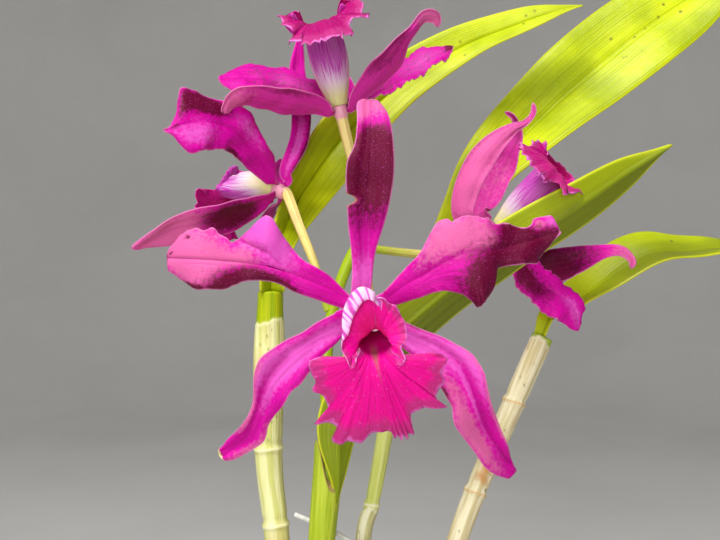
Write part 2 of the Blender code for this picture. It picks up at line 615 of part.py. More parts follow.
def lip_point(bloom, t, v):
    """A point of the lip. Up to t = 0.5 it is the tube round the column, and past that the middle lobe,
    which fans out from the tube's mouth, turns downwards and has a ruffled margin."""
    share = min(2 * t, 1)
    middle, along, lift = lip_tube(bloom, share)
    right = np.cross(lift, along)
    radius = float(smooth_curve(LIP_RADII, share))
    wrap = float(smooth_curve(LIP_WRAP, share))
    out = abs(v)
    if out <= LIP_STRIP:
        angle = LIP_STRIP_ANGLE * out / LIP_STRIP
    else:
        beyond = (out - LIP_STRIP) / (1 - LIP_STRIP)
        angle = LIP_STRIP_ANGLE + (wrap - LIP_STRIP_ANGLE) * beyond
        roll = math.radians(SIDE_LOBE_ROLL * min(1, beyond / SIDE_LOBE_EDGE))
        radius += SIDE_LOBE_FLARE * max(0, 2 * share - 1) ** 2 * math.sin(roll)
    angle = math.radians(math.copysign(angle, v))
    spot = middle + radius * (math.sin(angle) * right - math.cos(angle) * lift)
    if t <= 0.5:
        return spot
    fan = v / LIP_STRIP
    ray = math.radians(MIDDLE_LOBE_SPREAD * fan)
    reach = 2 * t - 1
    length = float(smooth_curve(MIDDLE_LOBE, (fan + 1) / 2))
    ahead = MIDDLE_LOBE_RUFFLE * reach ** 2 * math.sin(MIDDLE_LOBE_WAVES * math.pi * fan)
    aside = 0.0
    stretch = reach * length / MIDDLE_LOBE_STEPS
    for step in range(MIDDLE_LOBE_STEPS):
        bend = math.radians(float(smooth_curve(MIDDLE_LOBE_BEND, reach * (step + 0.5) / MIDDLE_LOBE_STEPS)))
        ahead += stretch * math.cos(bend)
        aside += stretch * math.sin(bend)
    return spot + along * ahead + aside * (math.sin(ray) * right - math.cos(ray) * lift)


def add_lip(name, bloom, plant, material):
    grid = FINE_LIP_GRID if bloom["fine"] else LIP_GRID
    sheet = bmesh.new()
    bmesh.ops.create_grid(sheet, x_segments=grid[0], y_segments=grid[1], size=1)
    corners = [face for face in sheet.faces
               if face.calc_center_median().x > 0 and abs(face.calc_center_median().y) > LIP_STRIP]
    bmesh.ops.delete(sheet, geom=corners, context="FACES")
    for vert in sheet.verts:
        vert.co = Vector(lip_point(bloom, (vert.co.x + 1) / 2, vert.co.y)) * MM
    bmesh.ops.triangulate(sheet, faces=sheet.faces)
    mesh = bpy.data.meshes.new(name)
    sheet.to_mesh(mesh)
    sheet.free()
    thicken(add_piece(name, mesh, plant, material), LIP_THICKNESS)


def add_column(name, bloom, plant, material):
    """The column: a club inside the lip's tube, thickest near its end."""
    points = []
    radii = []
    for share in np.linspace(0, 1, COLUMN_POINTS):
        middle, _, lift = lip_tube(bloom, COLUMN_SHARE * share)
        points.append(middle + lift * COLUMN_LIFT * share)
        radii.append(float(smooth_curve(COLUMN_RADII, share)))
    add_stem(name, plant, material, points, radii)


def add_ovary(name, bloom, plant, material):
    """The pedicel, which thickens into the ovary and ends in the receptacle that carries the bloom."""
    facing, _, _ = bloom_axes(bloom)
    centre = np.array(bloom["centre"], float)
    neck = centre - facing * (RECEPTACLE_BACK + NECK_LENGTH)
    line = even_route([*bloom["pedicel"], neck, centre - facing * RECEPTACLE_BACK], PEDICEL_POINTS)
    radii = [float(smooth_curve(PEDICEL_RADII, share)) for share in np.linspace(0, 1, PEDICEL_POINTS)]
    points = [*line, centre - facing * (RECEPTACLE_BACK - RECEPTACLE_EDGE),
              centre + facing * RECEPTACLE_FRONT]
    add_stem(name, plant, material, points, [*radii, RECEPTACLE_RADIUS, RECEPTACLE_RADIUS])


def add_bloom(name, bloom, plant, finishes):
    add_ovary(f"{name}_ovary", bloom, plant, finishes["stalk"])
    for part, tepal in bloom["tepals"].items():
        place = PETAL_PLACE if "petal" in part else SEPAL_PLACE
        add_tepal(f"{name}_{part}", bloom, plant, finishes["tepal"], place, tepal)
    add_lip(f"{name}_lip", bloom, plant, finishes["lip"])
    add_column(f"{name}_column", bloom, plant, finishes["column"])


def main():
    plant, cutters = start_scene()
    finishes = {
        "clay": finish("clay", (0.50, 0.20, 0.10), 0.85),
        "bark": finish("bark", (0.16, 0.08, 0.04), 0.95),
        "root": finish("root", (0.52, 0.50, 0.38), 0.8),
        "cane": finish("cane", (0.60, 0.62, 0.30), 0.6),
        "leaf": finish("leaf", (0.30, 0.48, 0.03), 0.4),
        "stalk": finish("stalk", (0.62, 0.60, 0.24), 0.5),
        "wire": finish("wire", (0.80, 0.80, 0.78), 0.4),
        "tepal": finish("tepal", (0.45, 0.02, 0.28), 0.5),
        "lip": finish("lip", (0.72, 0.01, 0.30), 0.5),
        "column": finish("column", (0.80, 0.45, 0.70), 0.5),
    }
    add_pot(plant, cutters, finishes["clay"])
    add_mix(plant, cutters, finishes["bark"])
    add_rhizome(plant, cutters, finishes["root"])
    for name in CANES:
        add_cane(name, plant, finishes["cane"])
    for name, (cane, offset, route, widths, face, fold) in LEAVES.items():
        line = from_cane(cane, offset, route, 2 * GAP)
        add_blade(name, plant, finishes["leaf"], line, widths, widths, face, fold, LEAF_CURL, LEAF_THICKNESS,
                  LEAF_GRID)
    stalk = even_route(from_cane("cane_front", STALK_OFFSET, STALK_ROUTE), STALK_POINTS)
    add_stem("flower_stalk", plant, finishes["stalk"], stalk, [STALK_RADIUS] * STALK_POINTS)
    sheath = from_cane("cane_front", SHEATH_OFFSET, SHEATH_ROUTE)
    add_blade("flower_sheath", plant, finishes["leaf"], sheath, SHEATH_HALF_WIDTHS, SHEATH_HALF_WIDTHS,
              (SHEATH_FACE,), SHEATH_FOLD, SHEATH_CURL, SHEATH_THICKNESS, SHEATH_GRID)
    wire = even_route(WIRE_ROUTE, WIRE_POINTS)
    add_stem("support_wire", plant, finishes["wire"], wire, [WIRE_RADIUS] * WIRE_POINTS)
    for name, bloom in BLOOMS.items():
        add_bloom(name, bloom, plant, finishes)


main()
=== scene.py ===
"""The looks of a cattleya orchid in a clay pot: finely shaped petals, lips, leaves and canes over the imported
model.

Lengths are in millimetres and become metres where a mesh is made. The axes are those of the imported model: +Z
is up, +X is to the right of someone who looks at the front bloom, and +Y is away from them.
"""

import math
import random

import bmesh
import bpy
import numpy as np
from mathutils import Matrix, Vector


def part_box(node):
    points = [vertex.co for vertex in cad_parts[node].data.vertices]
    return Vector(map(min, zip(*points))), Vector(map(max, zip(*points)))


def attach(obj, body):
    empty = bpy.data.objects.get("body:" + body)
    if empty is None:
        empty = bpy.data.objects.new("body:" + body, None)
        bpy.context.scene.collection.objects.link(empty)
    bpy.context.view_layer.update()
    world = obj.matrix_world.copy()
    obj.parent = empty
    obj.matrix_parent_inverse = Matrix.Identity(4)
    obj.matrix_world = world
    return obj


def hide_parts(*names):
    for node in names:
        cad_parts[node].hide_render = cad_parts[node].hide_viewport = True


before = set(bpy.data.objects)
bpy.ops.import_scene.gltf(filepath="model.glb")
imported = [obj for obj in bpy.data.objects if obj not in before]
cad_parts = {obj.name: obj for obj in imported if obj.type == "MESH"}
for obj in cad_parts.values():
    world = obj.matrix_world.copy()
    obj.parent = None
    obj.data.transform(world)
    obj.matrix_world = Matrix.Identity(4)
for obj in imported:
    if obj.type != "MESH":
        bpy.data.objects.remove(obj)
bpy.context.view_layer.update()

MM = 0.001

# How far apart two points of a curve are read to find its direction, and how finely its length is measured
STEP = 0.01
CURVE_STEPS = 400
ROUTE_POINTS = 60


def lowest(node):
    """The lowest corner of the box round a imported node."""
    return np.array(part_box(node)[0]) / MM


def highest(node):
    """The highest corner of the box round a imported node."""
    return np.array(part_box(node)[1]) / MM


# Pot and potting mix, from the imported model
POT_HEIGHT = highest("pot")[2]
POT_RIM_RADIUS = highest("pot")[0]
POT_RIM_HEIGHT = 22.0
POT_SHOULDER_RADIUS = POT_RIM_RADIUS - 7.0
POT_BASE_RADIUS = POT_RIM_RADIUS - 22.0
POT_WALL = 5.5
POT_FLOOR = lowest("bark_mix")[2] - 0.3
POT_ROUNDING = 1.2
ROUNDING_STEPS = 4
DRAIN_HOLES = 4
DRAIN_RADIUS = 4.5
DRAIN_PLACE = 24.0  # from the pot's middle
MIX_TOP = 100.0
MIX_GAP = 0.3  # between the mix and the pot
CHIPS = 330
CHIP_SHAPES = 6
RHIZOME_RADIUS = 4.0
RHIZOME_RING_STEP = 4.6
RHIZOME_HEIGHT = MIX_TOP + RHIZOME_RADIUS + 0.3
RHIZOME_ROUTE = ((-42, 0), (-30, 4), (-12, -2), (4, 16), (24, 27), (34, 31))
ROOT_RADIUS = 1.7
ROOT_DEPTH = 14.0
ROOTS = (((-24, 2), (-30, -20)), ((-12, -2), (-2, -24)), ((-3, 9), (-22, 28)), ((10, 20), (0, 42)),
         ((22, 26), (38, 8)), ((-34, 3), (-43, 18)))

# Canes: the line of each, its radii at even steps, the heights of its rings, the share of its length that
# its dry sheath covers, and its finish. A slant is a side and a length: the cane's end is drawn out on that
# side.
CANE_FOOT = RHIZOME_HEIGHT + RHIZOME_RADIUS + 0.3
CANE_SHEATH = 0.3  # the sheath's thickness
RING_HEIGHT = 0.55
RING_WIDTH = 1.1
CANES = {
    "cane_left": dict(
        route=((-31, 4, CANE_FOOT), (-31, 4, CANE_FOOT + 6), (-29.5, 7, 130), (-31, 12, 165),
               (-33.4, 14, 195), (-36.9, 15, 230), (-36, 15, 291)),
        radii=(3.0, 4.6, 4.8, 4.7, 4.9, 5.6, 6.0, 5.1), rings=(128, 160, 197.8, 228.3), sheath=0.935,
        finish="cane_cream"),
    "cane_front": dict(
        route=((-12, -2, CANE_FOOT), (-12, -2, CANE_FOOT + 6), (-14.5, -2, 140), (-15.6, -2, 180),
               (-13.1, -1.5, 216)),
        radii=(3.0, 4.4, 5.0, 5.0, 5.2, 5.7), rings=(124, 148, 172), sheath=0.3,
        slant=((-0.9, -0.45, 0), 19.0), finish="cane_green"),
    "cane_rear": dict(
        route=((4, 16, CANE_FOOT), (4, 16, CANE_FOOT + 6), (0.5, 20, 140), (1.3, 25, 188), (5.2, 27.5, 204),
               (10, 31, 229), (20, 38, 284)),
        radii=(2.8, 3.2, 3.2, 3.0, 3.3, 4.0, 4.1), rings=(134, 170, 202.5, 250), sheath=0.52,
        finish="cane_olive"),
    "cane_right": dict(
        route=((24, 27, CANE_FOOT), (24, 27, CANE_FOOT + 6), (28, 31, 140), (42.5, 38, 188), (61, 42, 231),
               (79, 45, 271)),
        radii=(2.8, 3.8, 4.0, 4.2, 4.4, 4.5, 4.6), rings=(140, 172, 205, 243), sheath=0.985,
        finish="cane_paper"),
}

# Leaves: the cane that each stands on and where on its end, the midrib's line above it, the half-widths at
# even steps, which may be others on its left, the way its upper side faces, and the fold at its midrib in
# degrees. The start is the gap between the cane's end and the leaf. Patches are given as for the tepals
# below.
LEAF_THICKNESS = 1.5
LEAF_STEM = 9.0  # how far a leaf goes straight on from its cane
LEAF_START = 0.6
LEAF_CURL = -8
LEAF_GRID = (120, 30)
LEAF_SHAPE = dict(ruffle=0.0, frill=0.0, roll=0.3, groove=0.7, rolled_back=0.2, tip=0.1, midrib=False)
LEAVES = {
    "leaf_front": dict(
        cane="cane_front", offset=(4.4, -3.6), start=-4.5,
        route=((-7.6, -4.6, 240), (-1, -1, 254), (11, 2, 271), (30, 3, 288), (56, 3, 306), (87, 5, 326),
               (123, 10, 350)),
        widths=(0.9, 8.4, 11.2, 13.2, 12.5, 12, 10.5, 7.5, 1.5),
        left=(0.9, 8.4, 11.2, 12.4, 11, 9.2, 9.2, 7.2, 1.5),
        face=((-0.3, 0.95, 0.1), (-0.35, 0.87, 0.2), (-0.2, 0.95, 0.25), (-0.2, 0.9, 0.4)),
        fold=(24, 24, 16, 10, 8), pale=((0.8, 0.6, 0.5, 0.5, 0.35),), brown=((0.8, -0.6, 0.45, 0.8, 0.3),)),
    "leaf_left": dict(
        cane="cane_left", offset=(0, 0),
        route=((-35, 23, 306), (-31, 38, 320), (-24, 52, 336), (-8, 60, 359), (16, 64, 382), (44, 66, 400),
               (72, 66, 412), (101, 64, 420)),
        widths=(6.6, 7.6, 12.5, 14.5, 13.5, 12, 10, 7, 1.5),
        face=((0.25, -0.95, 0.1), (0.5, -0.8, 0.3), (0.1, -0.9, 0.4), (-0.2, -0.8, 0.5)),
        fold=(45, 40, 30, 24, 16)),
    "leaf_rear": dict(
        cane="cane_rear", offset=(0, 0),
        route=((29, 48, 299), (38, 58, 308), (49, 68, 325), (63, 76, 348), (90, 82, 376), (123, 85, 404),
               (156, 84, 428), (186, 80, 446)),
        widths=(3.8, 8, 13, 17, 20, 22, 22, 17, 2),
        face=((-0.4, -0.8, 0.3), (-0.3, -0.9, 0.3), (-0.2, -0.9, 0.3)), fold=(45, 36, 22, 14, 10)),
    "leaf_right": dict(
        cane="cane_right", offset=(0, 0),
        route=((89, 48.5, 280), (97, 51, 287), (110, 55, 296), (125, 57, 305), (143, 58, 308),
               (163, 58, 309), (186, 55, 307.5)),
        widths=(4, 8, 12.5, 15, 15, 13, 10, 2),
        face=((-0.5, -0.6, 0.6), (-0.3, -0.5, 0.8), (-0.1, -0.15, 1.0)), fold=(45, 30, 22, 16, 10),
        # The deep patch is painted shade: a dark stretch in the underside's green across the middle of the
        # leaf
        pale=((0.28, -0.3, 0.22, 0.9, 0.8),), deep=((0.6, 0.25, 0.3, 0.85, 1.6),),
        brown=((0.6, 0.3, 0.28, 0.8, 0.3), (0.4, 0.9, 0.2, 0.4, 0.25))),
}

# Stalk, its sheath and the support wire
STALK_RADIUS = 2.3
STALK_START = 0.3
STALK_GRID = (120, 24)
STALK_ROUTE = ((-11.5, 1, 234), (-13.5, 5, 256), (-11, 9, 283), (-5, 12, 302), (0.6, 14.2, 312))
SHEATH = dict(
    cane="cane_front", offset=(-1.5, 3.3), route=((-13.5, 4, 234), (-15.0, 7.5, 252), (-14.0, 11, 268)),
    widths=(1.6, 2.2, 2.0, 0.6), face=((0.7, -0.7, 0),), fold=(45, 45, 40, 30))
SHEATH_THICKNESS = 0.7
SHEATH_GRID = (50, 16)
SHEATH_SHAPE = dict(roll=0.1, groove=0.1, rolled_back=0.1)
WIRE_RADIUS = 0.9
WIRE_GRID = (160, 16)
WIRE_ROUTE = ((-25.5, 6, 204), (-6, 9, 194), (8, 9, 182), (14, 5, 162), (15, 0, 138), (15, -1, 112),
              (15, -1, 84))

# Blooms
TEPAL_THICKNESS = 0.75
TEPAL_EDGE = 0.35  # the share of its thickness that a tepal or leaf keeps at its margin
TEPAL_FADE = 1.6  # how far in from its margin it has its full thickness
TEPAL_FOLD = (6, 10, 8, 4)
PETAL_CURL = -22
SEPAL_CURL = 14
PETAL_SHAPE = dict(ruffle=0.9, frill=0.25)
SEPAL_SHAPE = dict(ruffle=0.15, frill=0.06, channels=0.16)
RUFFLES = 4  # waves along a blade's margin
FRILL_RATES = (9, 14, 23)
ROLL_RATES = (2, 3, 5)
PEDICEL_RADII = (1.7, 1.7, 1.9, 2.1, 2.3)
OVARY_RIDGES = 6
COLUMN_RADII = (1.7, 1.8, 2.1, 2.1, 1.5)
COLUMN_REACH = 0.93  # the share of the tube that the column goes along
COLUMN_RISE = 3.2
RECEPTACLE_RADIUS = 2.9
RECEPTACLE_BACK = 2.6
RECEPTACLE_FRONT = 1.4
CLAW_RADIUS = RECEPTACLE_RADIUS + 0.4
SEPAL_PLACE = -1.0  # along the bloom's axis, from its centre
PETAL_PLACE = 0.7
LIP_THICKNESS = 0.55
LIP_EDGE = 0.5
LIP_FADE = 1.2
LIP_FOOT = RECEPTACLE_FRONT + 0.3
LIP_LINE = ((0, 0), (5, -0.8), (11, -4), (16.5, -8), (22, -10.4))
LIP_MIDDLE = (25.5, -9.0)  # the place that the lip's margins are measured from, forward and up
LIP_STRIP = 0.5  # the middle share of the lip's width, which goes on past the mouth as the middle lobe
SEPAL_WIDTHS = (1.5, 4.2, 6.4, 7.4, 7.6, 6.6, 5.0, 1.6)
PETAL_WIDTHS = (1.5, 4.5, 9, 12, 12.5, 11.5, 9, 3)
NARROW_PETAL_WIDTHS = (1.5, 3.5, 6, 8.5, 9.5, 9.5, 8.5, 3)

# Tepals. A route is the midrib's line from the bloom's centre. The outline is the half-widths at even
# steps, left and right, or the margins on both sides as seen from the bloom's front, or from the front
# bloom's front where seen is set. A patch is a place on the tepal, along and across it, its reach both ways
# and its strength: there are deep, pale, warm and brown ones. A crease is two such places, its height and
# its width. A bite is a place along the tepal, its side, its length and its depth. The claw is how far from
# the bloom's axis the tepal starts.
FRONT_TEPALS = {
    "dorsal_sepal": dict(
        route=((0, 0, 8), (0, -1, 22), (0, -3, 37), (1, -3, 53), (1, 5, 69.5)), tip_curl=-3.0, claw=0.4,
        margins=(
            ((-6.4, -2), (-6, 2), (-5.5, 10.5), (-6, 17.5), (-7, 24.5), (-7.5, 31), (-8, 38.5), (-8, 43),
             (-7.5, 46.5), (-5.5, 50.5), (-4.5, 54), (-3.8, 60), (-3.5, 66), (-2, 69), (0.5, 70)),
            ((0.8, -2), (1.2, 5), (2, 13.5), (3, 18.5), (4.5, 23), (6, 28.5), (8, 38), (8.5, 46), (8, 55),
             (7, 62.5), (5.5, 66.5), (4, 69.3), (2.5, 70))),
        deep=((0.62, 0, 0.2, 2.5, 1.0), (0.77, 0.1, 0.07, 1.0, 0.5), (0.42, 0, 0.2, 2.5, 0.35)),
        # The second pale patch, a narrow strip along the midrib, is a painted sheen
        pale=((0.04, 0, 0.2, 2, 0.9), (0.55, 0.02, 0.4, 0.13, 0.35)),
        warm=((1.0, 0, 0.14, 3, 1.0), (0.9, -0.8, 0.08, 0.5, 0.5)), bite=(0.475, -1, 1.6, 3.1), groove=0.25),
    "petal_left": dict(
        route=((-8, -1, 2), (-16, -3, 6), (-32, -5, 12), (-48, -3, 14), (-67, 3, 15)), frill=0.35,
        margins=(
            ((-7.5, -2), (-12.5, -0.5), (-16.5, 1), (-21, 2.5), (-25, 4), (-28.5, 6), (-31.5, 7),
             (-36, 7.5), (-40.5, 7), (-45, 5.5), (-48, 4.5), (-52.5, 4.5), (-57, 4.5), (-62.5, 7.5),
             (-65, 9.5), (-67, 11.5), (-67.5, 13)),
            ((-5.5, 2), (-9, 5.5), (-12.5, 9), (-16.5, 11.5), (-21, 14), (-23.5, 16.5), (-26, 19.5),
             (-28.5, 23), (-31, 27.5), (-33, 28.6), (-34.5, 28), (-40.5, 23), (-44.8, 20), (-46.5, 21.5),
             (-49.5, 23), (-51, 25), (-54.5, 24), (-57.5, 25), (-62, 23), (-64, 20.5), (-66.5, 16))),
        creases=(
            ((0.63, 0.9), (0.5, 0.3), -1.1, 0.9), ((0.5, 0.3), (0.42, 0.2), -0.4, 0.6),
            ((0.38, -0.03), (1.0, 0.0), -0.3, 0.4), ((0.42, -0.25), (0.9, -0.2), -0.18, 0.35),
            ((0.5, 0.5), (0.5, 1.0), 1.6, 4.0)),
        deep=((0.57, -1.0, 0.22, 0.8, 1.4), (0.36, -1.0, 0.15, 0.3, 0.5), (0.975, 0.35, 0.012, 0.12, 0.9),
              (0.89, 0.72, 0.025, 0.12, 0.8), (0.86, -0.95, 0.06, 0.12, 0.8)),
        pale=((0.5, 0.8, 0.13, 0.6, 1.0), (0.42, 0.2, 0.12, 0.5, 0.45)),
        warm=((0.9, 0.1, 0.27, 1.6, 1.0), (0.62, 0.15, 0.12, 0.35, 0.5))),
    "petal_right": dict(
        route=((7, -1, 2), (14, -3, 7), (30, -5, 16), (47, -3, 19), (62.4, 3, 23.5)), frill=0.7,
        tip_curl=3.0,
        margins=(
            ((4.5, 3), (11, 10.5), (16, 16), (18, 19.5), (20, 23.5), (22, 26.5), (24.5, 27.5), (26, 27.5),
             (26.5, 26.2), (27.5, 27.2), (30.5, 28.5), (34.5, 28.5), (38, 27.5), (41.5, 26), (44.5, 26.5),
             (47.5, 26), (50.5, 25), (53.5, 25.5), (55.5, 28), (58, 28.7), (60, 28.8), (61.6, 27.6),
             (62.4, 25)),
            ((10, -0.5), (13, 0.5), (17.5, 2), (21.5, 3.5), (25, 4), (27.5, 3.5), (31, 2.5), (34, 0),
             (35.5, -1.5), (38.5, 1.5), (40.5, 4), (41.5, 7.5), (42.3, 11), (44.5, 12), (48.5, 12.5),
             (53.5, 13), (56.2, 13), (58.2, 15.5), (60, 18.5), (61.8, 22))),
        creases=(
            ((0.25, 0.1), (0.85, 0.08), -0.3, 0.4), ((0.3, 0.25), (0.8, 0.2), -0.25, 0.4),
            ((0.45, 0.0), (0.62, -0.4), -0.2, 0.4), ((0.415, -0.95), (0.43, -0.8), -0.6, 0.5),
            ((0.78, -0.2), (0.8, -0.9), -0.9, 3.6)),
        deep=((0.78, 0.2, 0.22, 1.2, 1.0), (0.55, 0.8, 0.18, 0.55, 1.0), (0.98, 0.5, 0.1, 0.8, 0.7),
              (0.78, -0.7, 0.08, 0.6, 0.75)),
        pale=((0.35, -0.6, 0.18, 0.6, 0.45), (0.98, -0.6, 0.03, 0.5, 0.9), (0.97, 0.5, 0.02, 0.5, 0.6),
              (0.53, 0.95, 0.05, 0.12, 0.8)),
        warm=((0.48, -0.6, 0.22, 0.7, 0.9), (0.92, -0.6, 0.04, 0.3, 1.0), (0.62, -0.3, 0.06, 0.3, 0.6))),
    "sepal_left": dict(
        route=((-8, -2, -9), (-16, -5, -12), (-25, -7, -18), (-32, -7, -26), (-36, -4, -36), (-41, 1, -45),
               (-50, 7, -51)),
        margins=(
            ((-6, -8.5), (-11, -13.5), (-14.5, -16.5), (-18.5, -21), (-22, -26), (-25, -28.5),
             (-27.5, -32.5), (-30.5, -36.5), (-32.5, -40), (-33, -43), (-34, -45.5), (-37, -48),
             (-40.5, -50.5), (-44, -52.5), (-47, -53), (-50, -51.7)),
            ((-6, -1), (-12.5, -3.5), (-17.5, -6), (-22, -9), (-27.5, -11.5), (-31.5, -14), (-35, -16.5),
             (-36.5, -19), (-37.5, -23), (-37.7, -27.5), (-38, -32.5), (-39.5, -36.5), (-42.5, -41),
             (-46, -45), (-48, -48), (-50, -49.8))),
        creases=(((0.4, 0.25), (0.93, 0.05), -0.55, 1.7), ((0.3, -0.1), (0.9, -0.2), 0.3, 1.0)),
        deep=((0.3, 1.1, 0.28, 0.4, 0.55), (0.35, -1.1, 0.3, 0.4, 0.6), (0.98, 0, 0.05, 1, 0.4)),
        pale=((0.25, 0.1, 0.28, 0.7, 1.0), (0.5, -0.2, 0.2, 0.3, 0.6), (0.5, 0.7, 0.12, 0.3, 0.6)),
        warm=((0.62, 0.95, 0.25, 0.3, 0.7), (0.85, -0.9, 0.15, 0.5, 0.8), (0.75, 0.6, 0.12, 0.3, 0.4)),
        tip_spot=0.982, groove=0.1),
    "sepal_right": dict(
        route=((12, -2, -11), (21, -5, -15), (29, -7, -21), (33, -7, -29), (37, -4, -39), (43, 1, -49),
               (50, 7, -56.5)),
        margins=(
            ((10, -5), (13, -6.5), (18, -8.5), (23.5, -10.5), (27.5, -12.6), (31, -14.5), (33.5, -16.5),
             (35.5, -19.5), (37, -22.5), (38, -27), (39.5, -32.5), (42, -38), (44, -42.5), (46.5, -47.5),
             (48.5, -52), (50.3, -56)),
            ((10, -14), (17, -20), (22.5, -28), (24, -30.5), (25.5, -33), (26, -37), (27, -39.5),
             (30, -43.5), (34, -48.5), (38, -54), (42, -57), (45.5, -58.5), (48, -59), (50.3, -57.2))),
        creases=(((0.38, -0.3), (0.93, -0.3), -0.55, 1.8), ((0.3, -0.02), (0.88, -0.05), 0.35, 0.9)),
        deep=((0.22, -1.1, 0.25, 0.35, 0.7), (0.62, -0.42, 0.18, 0.2, 0.4), (0.5, 1.1, 0.12, 0.3, 0.8)),
        pale=((0.2, 0.1, 0.25, 0.8, 1.0), (0.45, -0.75, 0.2, 0.35, 0.7), (0.6, 0.02, 0.3, 0.1, 0.7)),
        warm=((0.7, 0.6, 0.3, 0.5, 0.9), (0.65, -0.95, 0.3, 0.25, 0.8)), groove=0.1),
}
TOP_TEPALS = {
    "dorsal_sepal": dict(
        route=((0, 9, 1), (1, 19, 4), (1, 27, 11), (1, 31, 22)), left=SEPAL_WIDTHS,
        pale=((0.5, 0, 0.5, 1, 0.5),)),
    # petal_left and petal_right each have a wide deep patch over the whole petal: painted shade that darkens
    # their upward faces
    "petal_left": dict(
        route=((-8, 4, 5), (-21, 7, 11), (-37, 6, 14), (-50, 2, 13)), left=PETAL_WIDTHS,
        face=(0.1, -0.7, 0.7), pale=((0.5, 0.2, 0.3, 0.6, 0.5),), deep=((0.5, 0, 0.8, 2, 0.48),)),
    "petal_right": dict(
        route=((6, 4, 5), (19, 10, 12), (34, 16, 22), (48, 18, 30)), left=PETAL_WIDTHS,
        right=(1.5, 3, 4.5, 5.5, 5.5, 5, 4, 2), face=(-0.3, -0.75, 0.6), frill=0.7,
        pale=((0.7, 0, 0.3, 1, 0.6),), deep=((1.0, 0, 0.06, 1, 0.8), (0.5, 0, 0.8, 2, 0.42))),
    "sepal_left": dict(
        route=((-8, -6, 0), (-15, -10, 0.6), (-27, -14, 2.0), (-35, -17, 2.6), (-41, -18, 0.6),
               (-44.5, -18, -5.5)),
        left=(1.5, 4.5, 6.2, 6.5, 6, 5, 4.2, 3), right=(1.5, 5.5, 9, 10, 9, 6.5, 5, 3.4),
        face=(-0.1, 0.55, 0.83), warm=((1.0, 0, 0.28, 3, 1.2),), deep=((0.45, -0.8, 0.25, 0.5, 0.8),)),
    "sepal_right": dict(
        route=((8, -6, 5), (19.5, -10, 16), (26, -11, 26), (30, -10, 31), (34, -8, 36), (38.5, -6, 36),
               (39.5, -5, 32.5)),
        left=(1.5, 4, 6, 6.5, 4.5, 2.6, 3, 2.2), face=(-0.45, 0.7, 0.55), warm=((1.0, 0, 0.24, 3, 1.2),),
        deep=((0.5, 0.6, 0.25, 0.7, 1.0),)),
}
LEFT_TEPALS = {
    "dorsal_sepal": dict(
        route=((3, 4, 8), (8, 12, 22), (8.5, 18, 38), (6.5, 21, 52), (8, 19, 69)),
        left=(1.5, 3.4, 4.2, 4.4, 4.4, 4.2, 3, 1.2), face=(0, -0.95, 0.3), pale=((0.3, 0, 0.3, 0.5, 0.9),),
        deep=((0.3, 1.0, 0.3, 0.4, 1.0),)),
    "petal_left": dict(route=((-1, 9, 1), (-5, 21, 4), (-12, 33, 7), (-23, 41, 11)), left=PETAL_WIDTHS),
    "petal_right": dict(
        route=((-3.5, -7, 8), (-9, -14, 15), (-17, -22, 22), (-27, -31, 23.5), (-39, -40, 19)),
        face=(0.1, -0.95, 0.2), seen=True,
        margins=(
            ((-3, 0.5), (-9.2, 5.2), (-15, 9.6), (-19.7, 13.4), (-26.5, 12.8), (-32, 11.3), (-36.9, 15.5),
             (-39.9, 18.5)),
            ((-0.9, 0), (-1, 12.4), (-4.2, 16.6), (-6.6, 22), (-10.3, 29.2), (-18.4, 32.5), (-26.5, 34.3),
             (-31, 36.3), (-35, 37.2), (-37.3, 36.6), (-37.8, 33), (-38, 27.5), (-38.6, 25), (-39.8, 22),
             (-40, 19))),
        frill=0.3,
        deep=((0.7, 0.6, 0.17, 0.4, 1.3), (0.4, -1.0, 0.12, 0.3, 1.0), (0.93, 0.1, 0.05, 0.3, 0.7)),
        pale=((0.8, -0.4, 0.2, 0.5, 0.8), (0.4, 0.5, 0.17, 0.4, 0.6))),
    "sepal_left": dict(
        route=((-2, 8, -6), (-7, 18, -14), (-14, 28, -19), (-22, 37, -21)), left=SEPAL_WIDTHS),
    "sepal_right": dict(
        route=((-6, -9, -6), (-19, -20, -12), (-36, -29, -17), (-52, -35, -25)), left=SEPAL_WIDTHS,
        face=(0.8, -0.4, -0.3), deep=((0.36, 0, 0.22, 1, 1.2),), warm=((0.8, 0, 0.3, 2, 1.0),)),
}
